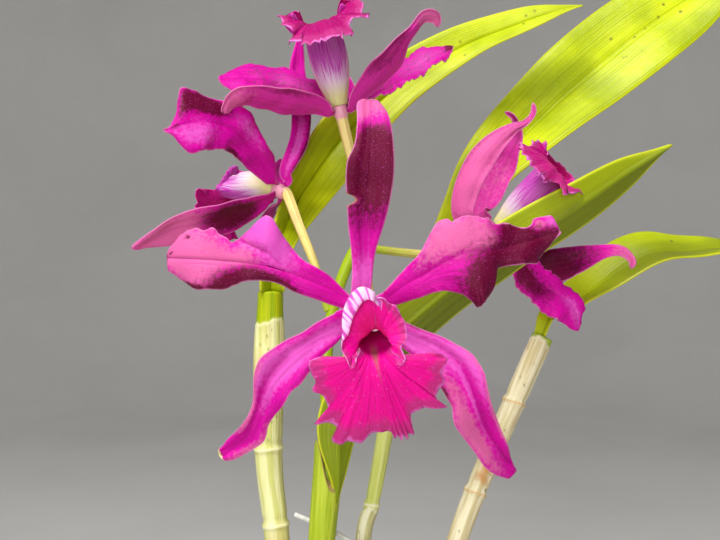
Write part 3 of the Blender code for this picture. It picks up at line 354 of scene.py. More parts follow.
RIGHT_TEPALS = {
    "dorsal_sepal": dict(
        route=((-9, -4, -1), (-14.5, -6, 7), (-11, -7, 21), (-3, -7, 33), (6, -6, 40.5), (12, -4, 43.5),
               (15.5, -3, 47.5), (15.5, -3, 52)),
        left=(2, 4, 5.2, 6, 5.8, 4, 1.5, 1.2), face=(0.45, 0.85, 0.2), warm=((0.5, 0, 1.0, 3, 0.8),),
        deep=((0.5, 1.0, 0.3, 0.4, 0.6),)),
    "petal_left": dict(
        route=((5, -6, -6), (13, -9, -18), (22, -9, -26), (31, -8, -32), (33.5, -6, -42)),
        left=SEPAL_WIDTHS, right=NARROW_PETAL_WIDTHS, face=(0.3, -0.9, 0.3), frill=0.7,
        deep=((0.4, 0.3, 0.3, 0.8, 0.9),), pale=((0.85, 0, 0.2, 0.5, 0.8),),
        warm=((0.2, 0.9, 0.12, 0.5, 1.0),)),
    "petal_right": dict(
        route=((-2, 7, 4), (-3.6, 13, 8), (2.6, 17, 22), (8, 17, 32), (12.3, 17, 41), (11, 16, 48.5),
               (6.5, 15, 51)),
        left=(2, 4, 6, 6.8, 6, 3.8, 1.6, 1.2), face=(0.5, 0.8, 0.2), warm=((0.5, 0, 1.0, 3, 0.45),),
        deep=((0.85, 0, 0.2, 1.5, 0.7),)),
    "sepal_left": dict(
        route=((8, 1, -6), (19, 3, -16), (33, 3, -13.4), (44.5, 2, -9.7), (52.8, 1, -9), (57.2, 0, -12.7),
               (56.5, 0, -16.4)),
        left=(1.5, 5, 7.4, 7.8, 6.5, 4, 2.6, 1.6), right=(1.5, 6.5, 9, 9, 7, 4, 2.6, 1.6),
        face=(0.1, -0.85, 0.5), deep=((0.42, 0, 0.33, 2, 1.0),), warm=((1.0, 0, 0.2, 3, 1.2),)),
    "sepal_right": dict(route=((3, 11, -2), (5, 23, -3), (9, 34, -6), (13, 42, -12)), left=SEPAL_WIDTHS),
}

# Blooms: the centre of each, the way it faces, its upward direction, and the line of its pedicel. The droop
# is the share of the lip's fall that it has. The lip's size and its middle lobe's are shares of the front
# bloom's, and a flare is the share of the side lobes' spread. A lip may face another way than its bloom
# does.
BLOOMS = {
    "bloom_front": dict(
        centre=(2.6, -55, 289.1), facing=(0.09, -1, 0), up=(0, 0, 1), droop=1.0, grid=(96, 40),
        pedicel=((0.4, 12.6, 309.8), (1.5, -6, 307), (2.4, -26, 299), (2.6, -42, 290.5)),
        tepals=FRONT_TEPALS),
    "bloom_top": dict(
        centre=(-8.1, 20, 365.2), facing=(-0.22, -0.03, 0.97), up=(0, 1, 0.03), droop=0.6, lip_size=1.34,
        lobe_size=0.8, lobe_depth=(8.5, 23.0, 1.1), grid=(64, 26),
        pedicel=((0.2, 14.1, 310.5), (0.9, 17, 328), (-3.2, 19, 344.6)), tepals=TOP_TEPALS),
    "bloom_left": dict(
        centre=(-33.8, 25, 333), facing=(-0.8, 0.4, 0.45), up=(0.45, -0.2, 0.85), droop=0.8, lip_size=0.98,
        lobe_size=0.78, flare=0.4, grid=(64, 26), pedicel=((-12.6, 9, 284), (-18, 11, 302), (-25, 16, 319)),
        tepals=LEFT_TEPALS),
    "bloom_right": dict(
        centre=(56, 28, 317), facing=(0.7, 0, 0.71), up=(-0.57, -0.57, 0.57), droop=0.3,
        lip_up=(0.3, 0.9, -0.3), lip_facing=(0.78, -0.2, 0.6), lip_size=1.34, lobe_size=0.7,
        lobe_depth=(16.0, 12.0, 1.1), grid=(64, 26),
        pedicel=((1.2, 14.2, 309), (18, 18, 307), (34, 23, 306), (46, 27, 308)), tepals=RIGHT_TEPALS),
}

# The lip's tube: its radii at even steps, the angles in degrees to which it and its middle strip wrap round
# the column on each side, and the rows and columns of a lip's faces
LIP_RADII = (2.4, 4.2, 5.4, 5.8, 5.6)
LIP_WRAP = (168.0, 172.0, 177.0, 179.0)
LIP_STRIP_ANGLE = 58.0
LIP_GRID = (104, 220)
PLAIN_LIP_GRID = (57, 115)
LIP_STEPS = 60

# The side lobes: the margin of each, to the right and up of the lip's middle, from beside the throat's
# floor to the top of the slit between them, how far forward it lies, and how far the middle of the lobe
# swells outwards
TUBE_SHARE = 0.62  # the share of a side lobe that is still rolled into the tube
LEFT_LOBE = dict(
    margin=((-6.2, -4.6), (-6.3, -7.9), (-7.8, -9.6), (-9.3, -6.7), (-10.6, -4.1), (-10.4, -1.8),
            (-8.7, 0.3), (-7.6, 4.2), (-6.3, 7.4), (-4.4, 10.2), (-2.4, 11.0), (-0.5, 9.9)),
    ahead=(24, 28.5, 28, 27, 27, 28, 28.8, 28.8),
    bulge=(0, 0.3, 0.5, 1.5, 5.2, 7.2, 8.0, 6.4))
RIGHT_LOBE = dict(
    margin=((5.3, -5.6), (5.8, -7.6), (7.3, -8.9), (8.8, -7.1), (7.6, -3.7), (9.0, -2.1), (9.6, 0.5),
            (9.0, 3.6), (7.6, 6.3), (6.1, 9.0), (3.8, 9.8), (2.0, 11.4), (-1.2, 11.0)),
    ahead=(24, 28, 27, 25.5, 25, 25.5, 26.5, 28),
    bulge=(0, -0.5, -0.8, -0.8, -0.8, -0.6, 0.6, 4.2))
SIDE_LOBES = (LEFT_LOBE, RIGHT_LOBE)

# The middle lobe: its margin to the right and up of a place near the tube's mouth, from its left end to its
# right, where that place is from the mouth's middle, how far forward of the bloom's centre the margin lies
# at its lowest and what its ends add to that, and how far the lobe goes straight on from the mouth, in its
# middle and at its sides. Each of its ruffles has a height, a power that keeps it near the margin, a number
# of waves and their phase.
LOBE_MIDDLE = (0.7, -6.2)
LOBE_SCALE = 1.03
LOBE_DEPTH = (13.4, 12.0, 1.1)
LOBE_AHEAD = (9.0, 6.0)
LOBE_JOIN = 0.12  # the share of a side lobe over which it parts from the middle strip
LOBE_RUFFLES = ((0.5, 3, 5, 0.5), (0.1, 1, 31, 0), (0.7, 10, 25, 0), (0.4, 10, 43, 0))
MIDDLE_LOBE = ((-9.8, -2.6), (-12.0, -2.0), (-15.7, -0.2), (-20.4, -1.3), (-19.8, -5.0), (-18.3, -7.7),
               (-19.4, -10.5), (-16.1, -12.2), (-14.5, -17.1), (-18.4, -21.5), (-14.5, -20.9),
               (-11.4, -22.7), (-13.1, -26.7), (-10.2, -27.9), (-7.6, -26.9), (-4.0, -27.8), (-2.7, -26.3),
               (-0.4, -24.5), (2.6, -24.3), (5.1, -24.2), (6.5, -26.7), (7.2, -25.3), (8.5, -27.2),
               (9.0, -25.4), (10.4, -26.9), (10.6, -25.0), (12.3, -25.2), (11.6, -22.7), (10.9, -19.0),
               (12.7, -17.2), (15.3, -16.4), (17.8, -16.8), (21.8, -16.5), (19.2, -14.7), (18.0, -12.5),
               (19.7, -9.6), (20.2, -7.7), (18.9, -4.5), (20.7, -0.8), (17.1, 0.8), (14.2, -0.5),
               (10.0, -2.0))

# Studio: the floor and the wall behind it in millimetres, and the camera's place in metres
FLOOR_RADIUS = 1500
WALL_BEND = 1100
WALL_HEIGHT = 3200
CAMERA_LENS = 48.48
CAMERA_SENSOR = 36
CAMERA_PLACE = (0, -0.375, 0.3)


def smooth_curve(points, t):
    """Where a smooth curve through evenly spaced values, numbers or places, is at t, from 0 to 1."""
    points = np.asarray(points, float)
    spans = len(points) - 1
    span = min(int(t * spans), spans - 1)
    f = t * spans - span
    before = points[max(span - 1, 0)]
    start = points[span]
    end = points[span + 1]
    after = points[min(span + 2, spans)]
    return 0.5 * (2 * start + (end - before) * f + (2 * before - 5 * start + 4 * end - after) * f ** 2
                  + (3 * start - before - 3 * end + after) * f ** 3)


def along_curve(points, shares):
    """Where the curve is at each of several shares of its way."""
    return np.array([smooth_curve(points, share) for share in shares])


def even_route(points, count=ROUTE_POINTS):
    """Points an even distance apart on a smooth curve through the given ones."""
    fine = along_curve(points, np.linspace(0, 1, CURVE_STEPS + 1))
    run = np.concatenate([[0], np.cumsum(np.linalg.norm(np.diff(fine, axis=0), axis=1))])
    wanted = np.linspace(0, run[-1], count)
    return np.stack([np.interp(wanted, run, fine[:, axis]) for axis in range(3)], axis=1)


def length_of(line):
    """How long a line of points is."""
    return float(np.sum(np.linalg.norm(np.diff(line, axis=0), axis=1)))


def unit(vectors):
    """The vectors with their lengths made 1."""
    vectors = np.asarray(vectors, float)
    return vectors / np.linalg.norm(vectors, axis=-1, keepdims=True)


def direction(points, t):
    """The direction of the curve at t."""
    return unit(smooth_curve(points, min(t + STEP, 1)) - smooth_curve(points, max(t - STEP, 0)))


def bump_curve(x, width):
    """1 at x = 0, and falling to nothing past the width on both sides."""
    return np.exp(-(x / width) ** 2)


def eased(x, low, high):
    """0 below low, 1 above high, and smooth between them."""
    share = np.clip((x - low) / (high - low), 0, 1)
    return share * share * (3 - 2 * share)


class Look:
    """A procedural material being made: one shader, and the nodes that feed it."""

    def __init__(self, name, roughness=0.5, **settings):
        self.material = bpy.data.materials.new(name)
        self.material.use_nodes = True
        self.tree = self.material.node_tree
        self.shader = self.tree.nodes["Principled BSDF"]
        self.shader.inputs["Roughness"].default_value = roughness
        for key, value in settings.items():
            self.shader.inputs[key.replace("_", " ")].default_value = value
        self.feed(self.shader, "Metallic", 0.0)

    def feed(self, node, socket, value):
        """Set a node's input to a value, or link it to another node's output."""
        target = node.inputs[socket]
        if isinstance(value, bpy.types.NodeSocket):
            self.tree.links.new(value, target)
        elif isinstance(value, tuple) and len(value) == 3 and target.type == "RGBA":
            target.default_value = (*value, 1)
        else:
            target.default_value = value

    def add(self, kind, inputs, output=0, **properties):
        node = self.tree.nodes.new(kind)
        for key, value in properties.items():
            setattr(node, key, value)
        for socket, value in inputs.items():
            self.feed(node, socket, value)
        return node.outputs[output]

    def value(self, name):
        """A value that was given to each vertex of the piece."""
        return self.add("ShaderNodeAttribute", {}, "Fac", attribute_name=name)

    def scaled(self, vector, scale):
        """A place on the piece, stretched so that a pattern there gets finer."""
        return self.add("ShaderNodeMapping", {"Vector": vector, "Scale": scale})

    def place(self, *scale):
        """A place in the object's own space."""
        return self.scaled(self.add("ShaderNodeTexCoord", {}, "Object"), scale)

    def surface(self, *scale):
        """A place on the piece, along and across it."""
        return self.scaled(self.add("ShaderNodeTexCoord", {}, "UV"), scale)

    def noise(self, vector, detail=3.0, distortion=0.0):
        """A cloudy pattern from 0 to 1."""
        inputs = {"Vector": vector, "Scale": 1.0, "Detail": detail, "Distortion": distortion}
        return self.add("ShaderNodeTexNoise", inputs, "Fac")

    def cells(self, vector):
        """How far each place is from the middle of its cell."""
        return self.add("ShaderNodeTexVoronoi", {"Vector": vector, "Scale": 1.0}, "Distance")

    def sum(self, first, second, operation="ADD"):
        """Two values added up, or put together by another operation."""
        return self.add("ShaderNodeMath", {0: first, 1: second}, operation=operation)

    def times(self, *factors):
        """Values multiplied with each other."""
        product = factors[0]
        for factor in factors[1:]:
            product = self.sum(product, factor, "MULTIPLY")
        return product

    def ramp(self, value, low, high, first=0.0, last=1.0):
        """The value eased from first, at or below low, to last, at or above high."""
        inputs = {"Value": value, "From Min": low, "From Max": high, "To Min": first, "To Max": last}
        return self.add("ShaderNodeMapRange", inputs, interpolation_type="SMOOTHSTEP")

    def mix(self, share, first, second):
        """A colour between two others."""
        node = self.tree.nodes.new("ShaderNodeMix")
        node.data_type = "RGBA"
        self.feed(node, 0, share)
        self.feed(node, 6, first)
        self.feed(node, 7, second)
        return node.outputs[2]

    def bump(self, *layers):
        """Fine relief, from pairs of a height and what it counts for in millimetres."""
        normal = None
        for height, depth in layers:
            node = self.tree.nodes.new("ShaderNodeBump")
            node.inputs["Distance"].default_value = depth * MM
            self.feed(node, "Height", height)
            if normal is not None:
                self.feed(node, "Normal", normal)
            normal = node.outputs[0]
        self.feed(self.shader, "Normal", normal)

    def colour(self, value):
        """Give the shader its colour, which finishes the material."""
        self.feed(self.shader, "Base Color", value)
        return self.material


def shade(red, green, blue):
    """A colour given as it looks, from 0 to 255, as the shader wants it."""
    shares = (red / 255, green / 255, blue / 255)
    return tuple(((share + 0.055) / 1.055) ** 2.4 if share > 0.04 else share / 12.92 for share in shares)


RIM_PINK = shade(226, 132, 186)
# Lilac for the lip's pale rim and for its painted glints
LILAC_RIM_AND_GLINTS = shade(226, 130, 214)
TAN = shade(176, 122, 70)
VELVET = shade(178, 52, 120)
CRIMSON = shade(205, 0, 92)
WEDGE = shade(176, 112, 88)
CREAM = shade(240, 232, 160)
PURPLE = shade(196, 8, 178)
LEAF_SPOT = shade(74, 52, 28)


def tepal_look(name, deep, mid, light, warm, back):
    """A sepal's or petal's finish: darker, paler and warmer patches with speckled edges, faint veins, a darker
    midrib line with painted shade along the creases, a thin pale rim, a paler back and painted glints, fine
    pale specks that stand in for the skin's sparkle."""
    look = Look(name, 0.46, Specular_IOR_Level=0.13, Subsurface_Weight=0.1, Subsurface_Scale=0.002)
    veins = look.noise(look.surface(1.6, 60, 1), 3.0, 0.2)
    clouds = look.noise(look.place(95, 95, 95), 3.0)
    grain = look.noise(look.place(750, 750, 750), 3.0)
    fine = look.noise(look.place(1900, 1900, 1900), 1.0)
    rough = look.sum(look.times(look.sum(grain, -0.5), 0.9), look.times(look.sum(veins, -0.5), 0.45))
    rough = look.sum(rough, look.times(look.sum(clouds, -0.5), 0.6))
    pale = look.ramp(look.sum(look.value("pale"), rough), 0.2, 0.9)
    warmth = look.ramp(look.sum(look.value("warm"), rough), 0.25, 0.8)
    dark = look.ramp(look.sum(look.value("dark"), look.times(rough, 0.8)), 0.25, 0.85)
    face = look.mix(look.ramp(veins, 0.35, 0.65, 0.0, 0.3), mid, deep)
    # The pale value holds pale patches; the front dorsal sepal's narrow midrib strip is a painted sheen
    face = look.mix(look.times(pale, 0.9), face, light)
    face = look.mix(look.times(warmth, 0.9), face, warm)
    # The line value darkens the midrib and paints shade along the creases' grooves
    face = look.mix(look.times(look.value("line"), 0.6), face, look.mix(0.5, mid, deep))
    # The dark value holds the deep patches; the wide ones on the top bloom's petals are painted shade
    face = look.mix(dark, face, deep)
    rear = look.mix(look.ramp(veins, 0.3, 0.7, 0.0, 0.6), back, mid)
    rear = look.mix(look.times(warmth, 0.8), rear, warm)
    rear = look.mix(look.times(dark, 0.7), rear, deep)
    colour = look.mix(look.value("upper"), rear, face)
    rim = look.ramp(look.sum(look.value("margin"), look.times(clouds, 0.4)), 0.22, 0.75, 0.7, 0.0)
    colour = look.mix(rim, colour, RIM_PINK)
    # Painted glints: fine pale specks where the skin would sparkle in the light
    colour = look.mix(look.ramp(fine, 0.6, 0.75, 0.0, 0.22), colour, light)
    colour = look.mix(look.value("brown"), colour, TAN)
    colour = look.mix(look.value("spot"), colour, CREAM)
    look.bump((veins, 0.16), (clouds, 0.3), (grain, 0.12), (fine, 0.05))
    return look.colour(colour)


def lip_look(name, hot, dark, outside, blush):
    """The lip's finish: hot magenta with radiating veins and painted lilac glints inside, whitish with purple
    streaks outside. The blush is how much of the outside is purple all over."""
    look = Look(name, 0.5, Specular_IOR_Level=0.14, Subsurface_Weight=0.1, Subsurface_Scale=0.002)
    veins = look.noise(look.surface(4.0, 230, 1), 2.0, 0.35)
    streaks = look.noise(look.surface(6, 105, 1), 1.0, 0.3)
    clouds = look.noise(look.place(190, 190, 190), 3.0)
    fine = look.noise(look.place(1000, 1000, 1000), 2.0)
    margin = look.sum(look.value("margin"), look.times(clouds, 2.6))
    face = look.mix(look.ramp(veins, 0.36, 0.66, 0.0, 0.42), hot, dark)
    face = look.mix(look.ramp(margin, 2.4, 4.4, 0.7, 0.0), face, VELVET)
    face = look.mix(look.value("throat"), face, CRIMSON)
    face = look.mix(look.times(look.value("wedge"), 0.7), face, WEDGE)
    face = look.mix(look.ramp(margin, 1.2, 1.9, 0.7, 0.0), face, LILAC_RIM_AND_GLINTS)
    # Painted glints: fine lilac specks where the lip's skin would sparkle in the light
    face = look.mix(look.ramp(fine, 0.6, 0.75, 0.0, 0.25), face, LILAC_RIM_AND_GLINTS)
    reach = look.value("reach")
    rear = look.mix(look.ramp(reach, 0.02, 0.22), CREAM, outside)
    streaked = look.times(look.ramp(streaks, 0.44, 0.6, 0, 0.85), look.ramp(reach, 0.1, 0.3))
    rear = look.mix(streaked, rear, PURPLE)
    blushed = look.ramp(look.sum(reach, look.times(streaks, 0.12)), 0.2, 0.42)
    rear = look.mix(look.times(blushed, blush), rear, PURPLE)
    rear = look.mix(look.ramp(reach, 0.42, 0.62, 0.0, 0.9), rear, hot)
    look.bump((veins, 0.3), (clouds, 0.35), (fine, 0.15))
    return look.colour(look.mix(look.value("upper"), rear, face))


def leaf_look(name, face, light, under, rim):
    """A leathery leaf: parallel veins, blotches, painted shade in the underside's green where a deep patch is
    given, a yellow rim and a few dark specks.
    """
    look = Look(name, 0.38, Specular_IOR_Level=0.25, Subsurface_Weight=0.05, Subsurface_Scale=0.002)
    veins = look.noise(look.surface(1.2, 46, 1), 3.0)
    clouds = look.noise(look.place(30, 30, 30), 3.0)
    pores = look.noise(look.place(420, 420, 420), 3.0)
    specks = look.cells(look.place(130, 130, 130))
    upper = look.mix(look.ramp(clouds, 0.35, 0.7), face, light)
    upper = look.mix(look.ramp(veins, 0.45, 0.7, 0.0, 0.4), upper, under)
    lower = look.mix(look.ramp(veins, 0.4, 0.7, 0.0, 0.5), under, face)
    colour = look.mix(look.value("upper"), lower, upper)
    colour = look.mix(look.value("pale"), colour, light)
    # The dark value paints shade with the underside's green
    colour = look.mix(look.times(look.value("dark"), 0.7), colour, under)
    colour = look.mix(look.ramp(look.value("margin"), 0.3, 1.1, 0.85, 0.0), colour, rim)
    spots = look.times(look.ramp(specks, 0.05, 0.16, 1.0, 0.0), look.ramp(clouds, 0.5, 0.62))
    colour = look.mix(look.times(spots, 0.7), colour, LEAF_SPOT)
    colour = look.mix(look.value("brown"), colour, LEAF_SPOT)
    look.bump((veins, 0.25), (clouds, 1.2), (pores, 0.12))
    return look.colour(colour)


def cane_look(name, skin, streak, sheath, sheath_streak, spot, spots, mark):
    """A cane: its own green skin, and the dry papery sheath that covers its lower part."""
    look = Look(name, 0.5, Specular_IOR_Level=0.22)
    lengthwise = look.noise(look.surface(5, 14, 1), 4.0, 0.2)
    fibres = look.noise(look.surface(14, 70, 1), 3.0)
    clouds = look.noise(look.place(60, 60, 35), 4.0)
    specks = look.cells(look.place(300, 300, 170))
    bare = look.mix(look.ramp(lengthwise, 0.35, 0.65), skin, streak)
    dry = look.mix(look.ramp(lengthwise, 0.38, 0.62), sheath, sheath_streak)
    dry = look.mix(look.ramp(fibres, 0.55, 0.72, 0.0, 0.5), dry, sheath_streak)
    dry = look.mix(look.ramp(clouds, 0.56, 0.68, 0.0, spots), dry, spot)
    speckled = look.times(look.ramp(specks, 0.08, 0.22, 1.0, 0.0), look.ramp(clouds, 0.45, 0.6), spots)
    dry = look.mix(speckled, dry, LEAF_SPOT)
    colour = look.mix(look.value("dry"), bare, dry)
    colour = look.mix(look.times(look.value("edge"), 0.8), colour, sheath)
    colour = look.mix(look.times(look.value("ring"), 0.75), colour, mark)
    look.bump((lengthwise, 0.5), (fibres, 0.25), (clouds, 0.5))
    return look.colour(colour)


def stalk_look(name, green, cream, blush):
    """A green stem that turns cream along its length, with a blush and a pink end."""
    look = Look(name, 0.4, Specular_IOR_Level=0.45, Subsurface_Weight=0.08, Subsurface_Scale=0.002)
    streaks = look.noise(look.surface(4, 9, 1), 3.0)
    clouds = look.noise(look.place(110, 110, 80), 3.0)
    ripe = look.ramp(look.sum(look.value("share"), look.times(streaks, 0.5)), 0.25, 0.8)
    colour = look.mix(ripe, green, cream)
    colour = look.mix(look.ramp(clouds, 0.5, 0.75, 0.0, 0.45), colour, blush)
    colour = look.mix(look.times(look.value("end"), 0.8), colour, RIM_PINK)
    look.bump((streaks, 0.3), (clouds, 0.3))
    return look.colour(colour)


def plain_look(name, colours, scale, roughness, grain, depth, specular=0.4):
    """A mottled finish of three colours, with a grain."""
    look = Look(name, roughness, Specular_IOR_Level=specular)
    clouds = look.noise(look.place(scale, scale, scale), 5.0, 0.4)
    fine = look.noise(look.place(grain, grain, grain), 4.0)
    colour = look.mix(look.ramp(clouds, 0.35, 0.65), colours[0], colours[1])
    colour = look.mix(look.ramp(fine, 0.5, 0.72, 0.0, 0.6), colour, colours[2])
    look.bump((clouds, depth * 2), (fine, depth))
    return look.colour(colour)


def clear_selection():
    bpy.ops.object.select_all(action="DESELECT")


def add_grid(name, places, values, weld=False):
    """A piece made of a grid of faces, whose rows and columns are put at the given places. Its UV map runs
    along and across it, and each table of values goes with its vertices."""
    rows = places.shape[0] - 1
    columns = places.shape[1] - 1
    clear_selection()
    bpy.ops.mesh.primitive_grid_add(x_subdivisions=rows, y_subdivisions=columns, size=2)
    piece = bpy.context.object
    piece.name = name
    mesh = piece.data
    mesh.name = name
    flat = np.empty(len(mesh.vertices) * 3)
    mesh.vertices.foreach_get("co", flat)
    flat = flat.reshape(-1, 3)
    row = np.rint((flat[:, 0] + 1) / 2 * rows).astype(int)
    column = np.rint((flat[:, 1] + 1) / 2 * columns).astype(int)
    mesh.vertices.foreach_set("co", (places[row, column] * MM).ravel())
    for key, table in values.items():
        mesh.attributes.new(key, "FLOAT", "POINT").data.foreach_set("value", table[row, column].astype(float))
    if weld:
        shape = bmesh.new()
        shape.from_mesh(mesh)
        bmesh.ops.remove_doubles(shape, verts=shape.verts, dist=MM / 1000)
        bmesh.ops.recalc_face_normals(shape, faces=shape.faces)
        shape.to_mesh(mesh)
        shape.free()
    mesh.shade_smooth()
    mesh.update()
    return piece, row, column


def keep(piece, node, material):
    """Give a piece its finish, put it under the root body, and hide the imported node that it replaces, if one
    is given.
    """
    piece.data.materials.clear()
    piece.data.materials.append(material)
    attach(piece, "root")
    if node:
        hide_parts(node)
    return piece


def apply_modifier(piece, kind, **settings):
    """Add a modifier to a piece and apply it at once."""
    modifier = piece.modifiers.new(kind.title(), kind)
    for key, value in settings.items():
        setattr(modifier, key, value)
    clear_selection()
    piece.select_set(True)
    bpy.context.view_layer.objects.active = piece
    bpy.ops.object.modifier_apply(modifier=modifier.name)


def add_sheet(name, places, normals, values, thickness, edge, fade, material):
    """A sheet with a thickness that falls to the share called edge at its margin, over the distance fade.
    Faces whose corners all have a value called cut are left out."""
    rows, columns = places.shape[:2]
    values["row"] = np.arange(rows)[:, None] + np.zeros((rows, columns))
    values["column"] = np.arange(columns)[None, :] + np.zeros((rows, columns))
    piece, row, column = add_grid(name, places, values)
    mesh = piece.data
    group = piece.vertex_groups.new(name="thick")
    weights = np.clip(values["margin"][row, column] / fade, 0, 1)
    for number, weight in enumerate(weights):
        group.add([number], float(weight), "REPLACE")
    if "cut" in values:
        lost = values["cut"][row, column]
        shape = bmesh.new()
        shape.from_mesh(mesh)
        faces = [face for face in shape.faces if all(lost[vert.index] for vert in face.verts)]
        bmesh.ops.delete(shape, geom=faces, context="FACES")
        shape.to_mesh(mesh)
        shape.free()
    apply_modifier(piece, "SOLIDIFY", thickness=thickness * MM, offset=0, vertex_group="thick",
                   thickness_vertex_group=edge)
    count = len(mesh.vertices)
    stored = {}
    for key in ("row", "column"):
        stored[key] = np.empty(count)
        mesh.attributes[key].data.foreach_get("value", stored[key])
        stored[key] = np.rint(stored[key]).astype(int)
    flat = np.empty(count * 3)
    mesh.vertices.foreach_get("co", flat)
    away = flat.reshape(-1, 3) / MM - places[stored["row"], stored["column"]]
    upper = np.sum(away * normals[stored["row"], stored["column"]], axis=1) > 0
    mesh.attributes.new("upper", "FLOAT", "POINT").data.foreach_set("value", upper.astype(float))
    for key in ("row", "column"):
        mesh.attributes.remove(mesh.attributes[key])
    piece.vertex_groups.clear()
    return keep(piece, name, material)


def margin_reach(margin, centre, right_way, up):
    """Half-widths for a tepal, from its margin as seen from the front: a function that says how far from the
    margin each of the given places is, going the given way."""
    fine = even_route([(x, 0, z) for x, z in margin], 160)[:, (0, 2)]
    starts = fine[:-1]
    steps = np.diff(fine, axis=0)

    def reach(middle, side):
        places = np.stack([(middle - centre) @ right_way, (middle - centre) @ up], axis=1)
        ways = np.stack([side @ right_way, side @ up], axis=1)
        found = []
        for place, way in zip(places, ways):
            across = way[0] * steps[:, 1] - way[1] * steps[:, 0]
            off = starts - place
            run = (off[:, 0] * steps[:, 1] - off[:, 1] * steps[:, 0]) / across
            spot = (off[:, 0] * way[1] - off[:, 1] * way[0]) / across
            hits = run[(spot >= 0) & (spot <= 1) & (run > 0)]
            found.append(hits.min() if len(hits) else np.nan)
        found = np.array([1.5, *found[1:-1], 0.3])
        rows = np.arange(len(found))
        known = ~np.isnan(found)
        return np.interp(rows, rows[known], found[known])

    return reach


def patches(spots, t, v):
    """How strongly each place is covered by the given patches."""
    cover = np.zeros_like(t + v)
    for t0, v0, reach_t, reach_v, strength in spots:
        cover += strength * bump_curve(t - t0, reach_t) * bump_curve(v - v0, reach_v)
    return np.clip(cover, 0, 1)


def blade_relief(name, t, v, across, shape):
    """What stands out from a blade's face: ruffles, frills, slow rolls, channels and the groove at its
    midrib."""
    chance = random.Random(name)
    out = np.abs(v)
    begins = np.minimum(1, 3 * t)
    relief = np.zeros_like(across)
    ruffled = np.sin(2 * math.pi * RUFFLES * t + np.where(v > 0, 1, 0))
    relief += shape.get("ruffle", 0.0) * out ** 2 * ruffled * begins
    for rate in FRILL_RATES:
        phase = np.where(v > 0, chance.uniform(0, 6), chance.uniform(0, 6))
        relief += shape.get("frill", 0.0) * 0.6 * out ** 5 * np.sin(2 * math.pi * rate * t + phase) * begins
    for rate in ROLL_RATES:
        phase = chance.uniform(0, 6)
        tilt = chance.uniform(-2, 2)
        relief += shape.get("roll", 0.25) * np.sin(2 * math.pi * rate * t + tilt * v + phase) * begins
    relief += shape.get("channels", 0.0) * np.cos(math.pi * 3.2 * v) * begins
    relief -= shape.get("groove", 0.3) * bump_curve(across, 0.8) * begins
    relief -= shape.get("rolled_back", 0.4) * out ** 8
    relief += shape.get("tip_curl", 0.0) * np.clip((t - 0.86) / 0.14, 0, 1) ** 2
    return relief


def with_creases(creases, t, across, edges, length, relief, midrib_line_and_crease_shade):
    """A blade's relief and its dark line, with its creases added: every groove adds painted shade along it,
    darker the deeper the groove. The edges are its half-widths left and right."""
    for start, end, depth, width in creases:
        ends = []
        for at, sideways in (start, end):
            edge = np.interp(at, t[:, 0], edges[sideways > 0])
            ends.append(np.array([at * length, sideways * edge]))
        way = ends[1] - ends[0]
        ahead = t * length - ends[0][0]
        aside = across - ends[0][1]
        share = np.clip((ahead * way[0] + aside * way[1]) / (way @ way), 0, 1)
        off = np.hypot(ahead - share * way[0], aside - share * way[1])
        relief = relief + depth * bump_curve(off, width)
        # A groove also gets painted shade: a dark line along its floor
        if depth < 0:
            midrib_line_and_crease_shade = midrib_line_and_crease_shade + min(1, 0.25 - depth * 0.9) * bump_curve(off, width * 0.6)
    return relief, midrib_line_and_crease_shade


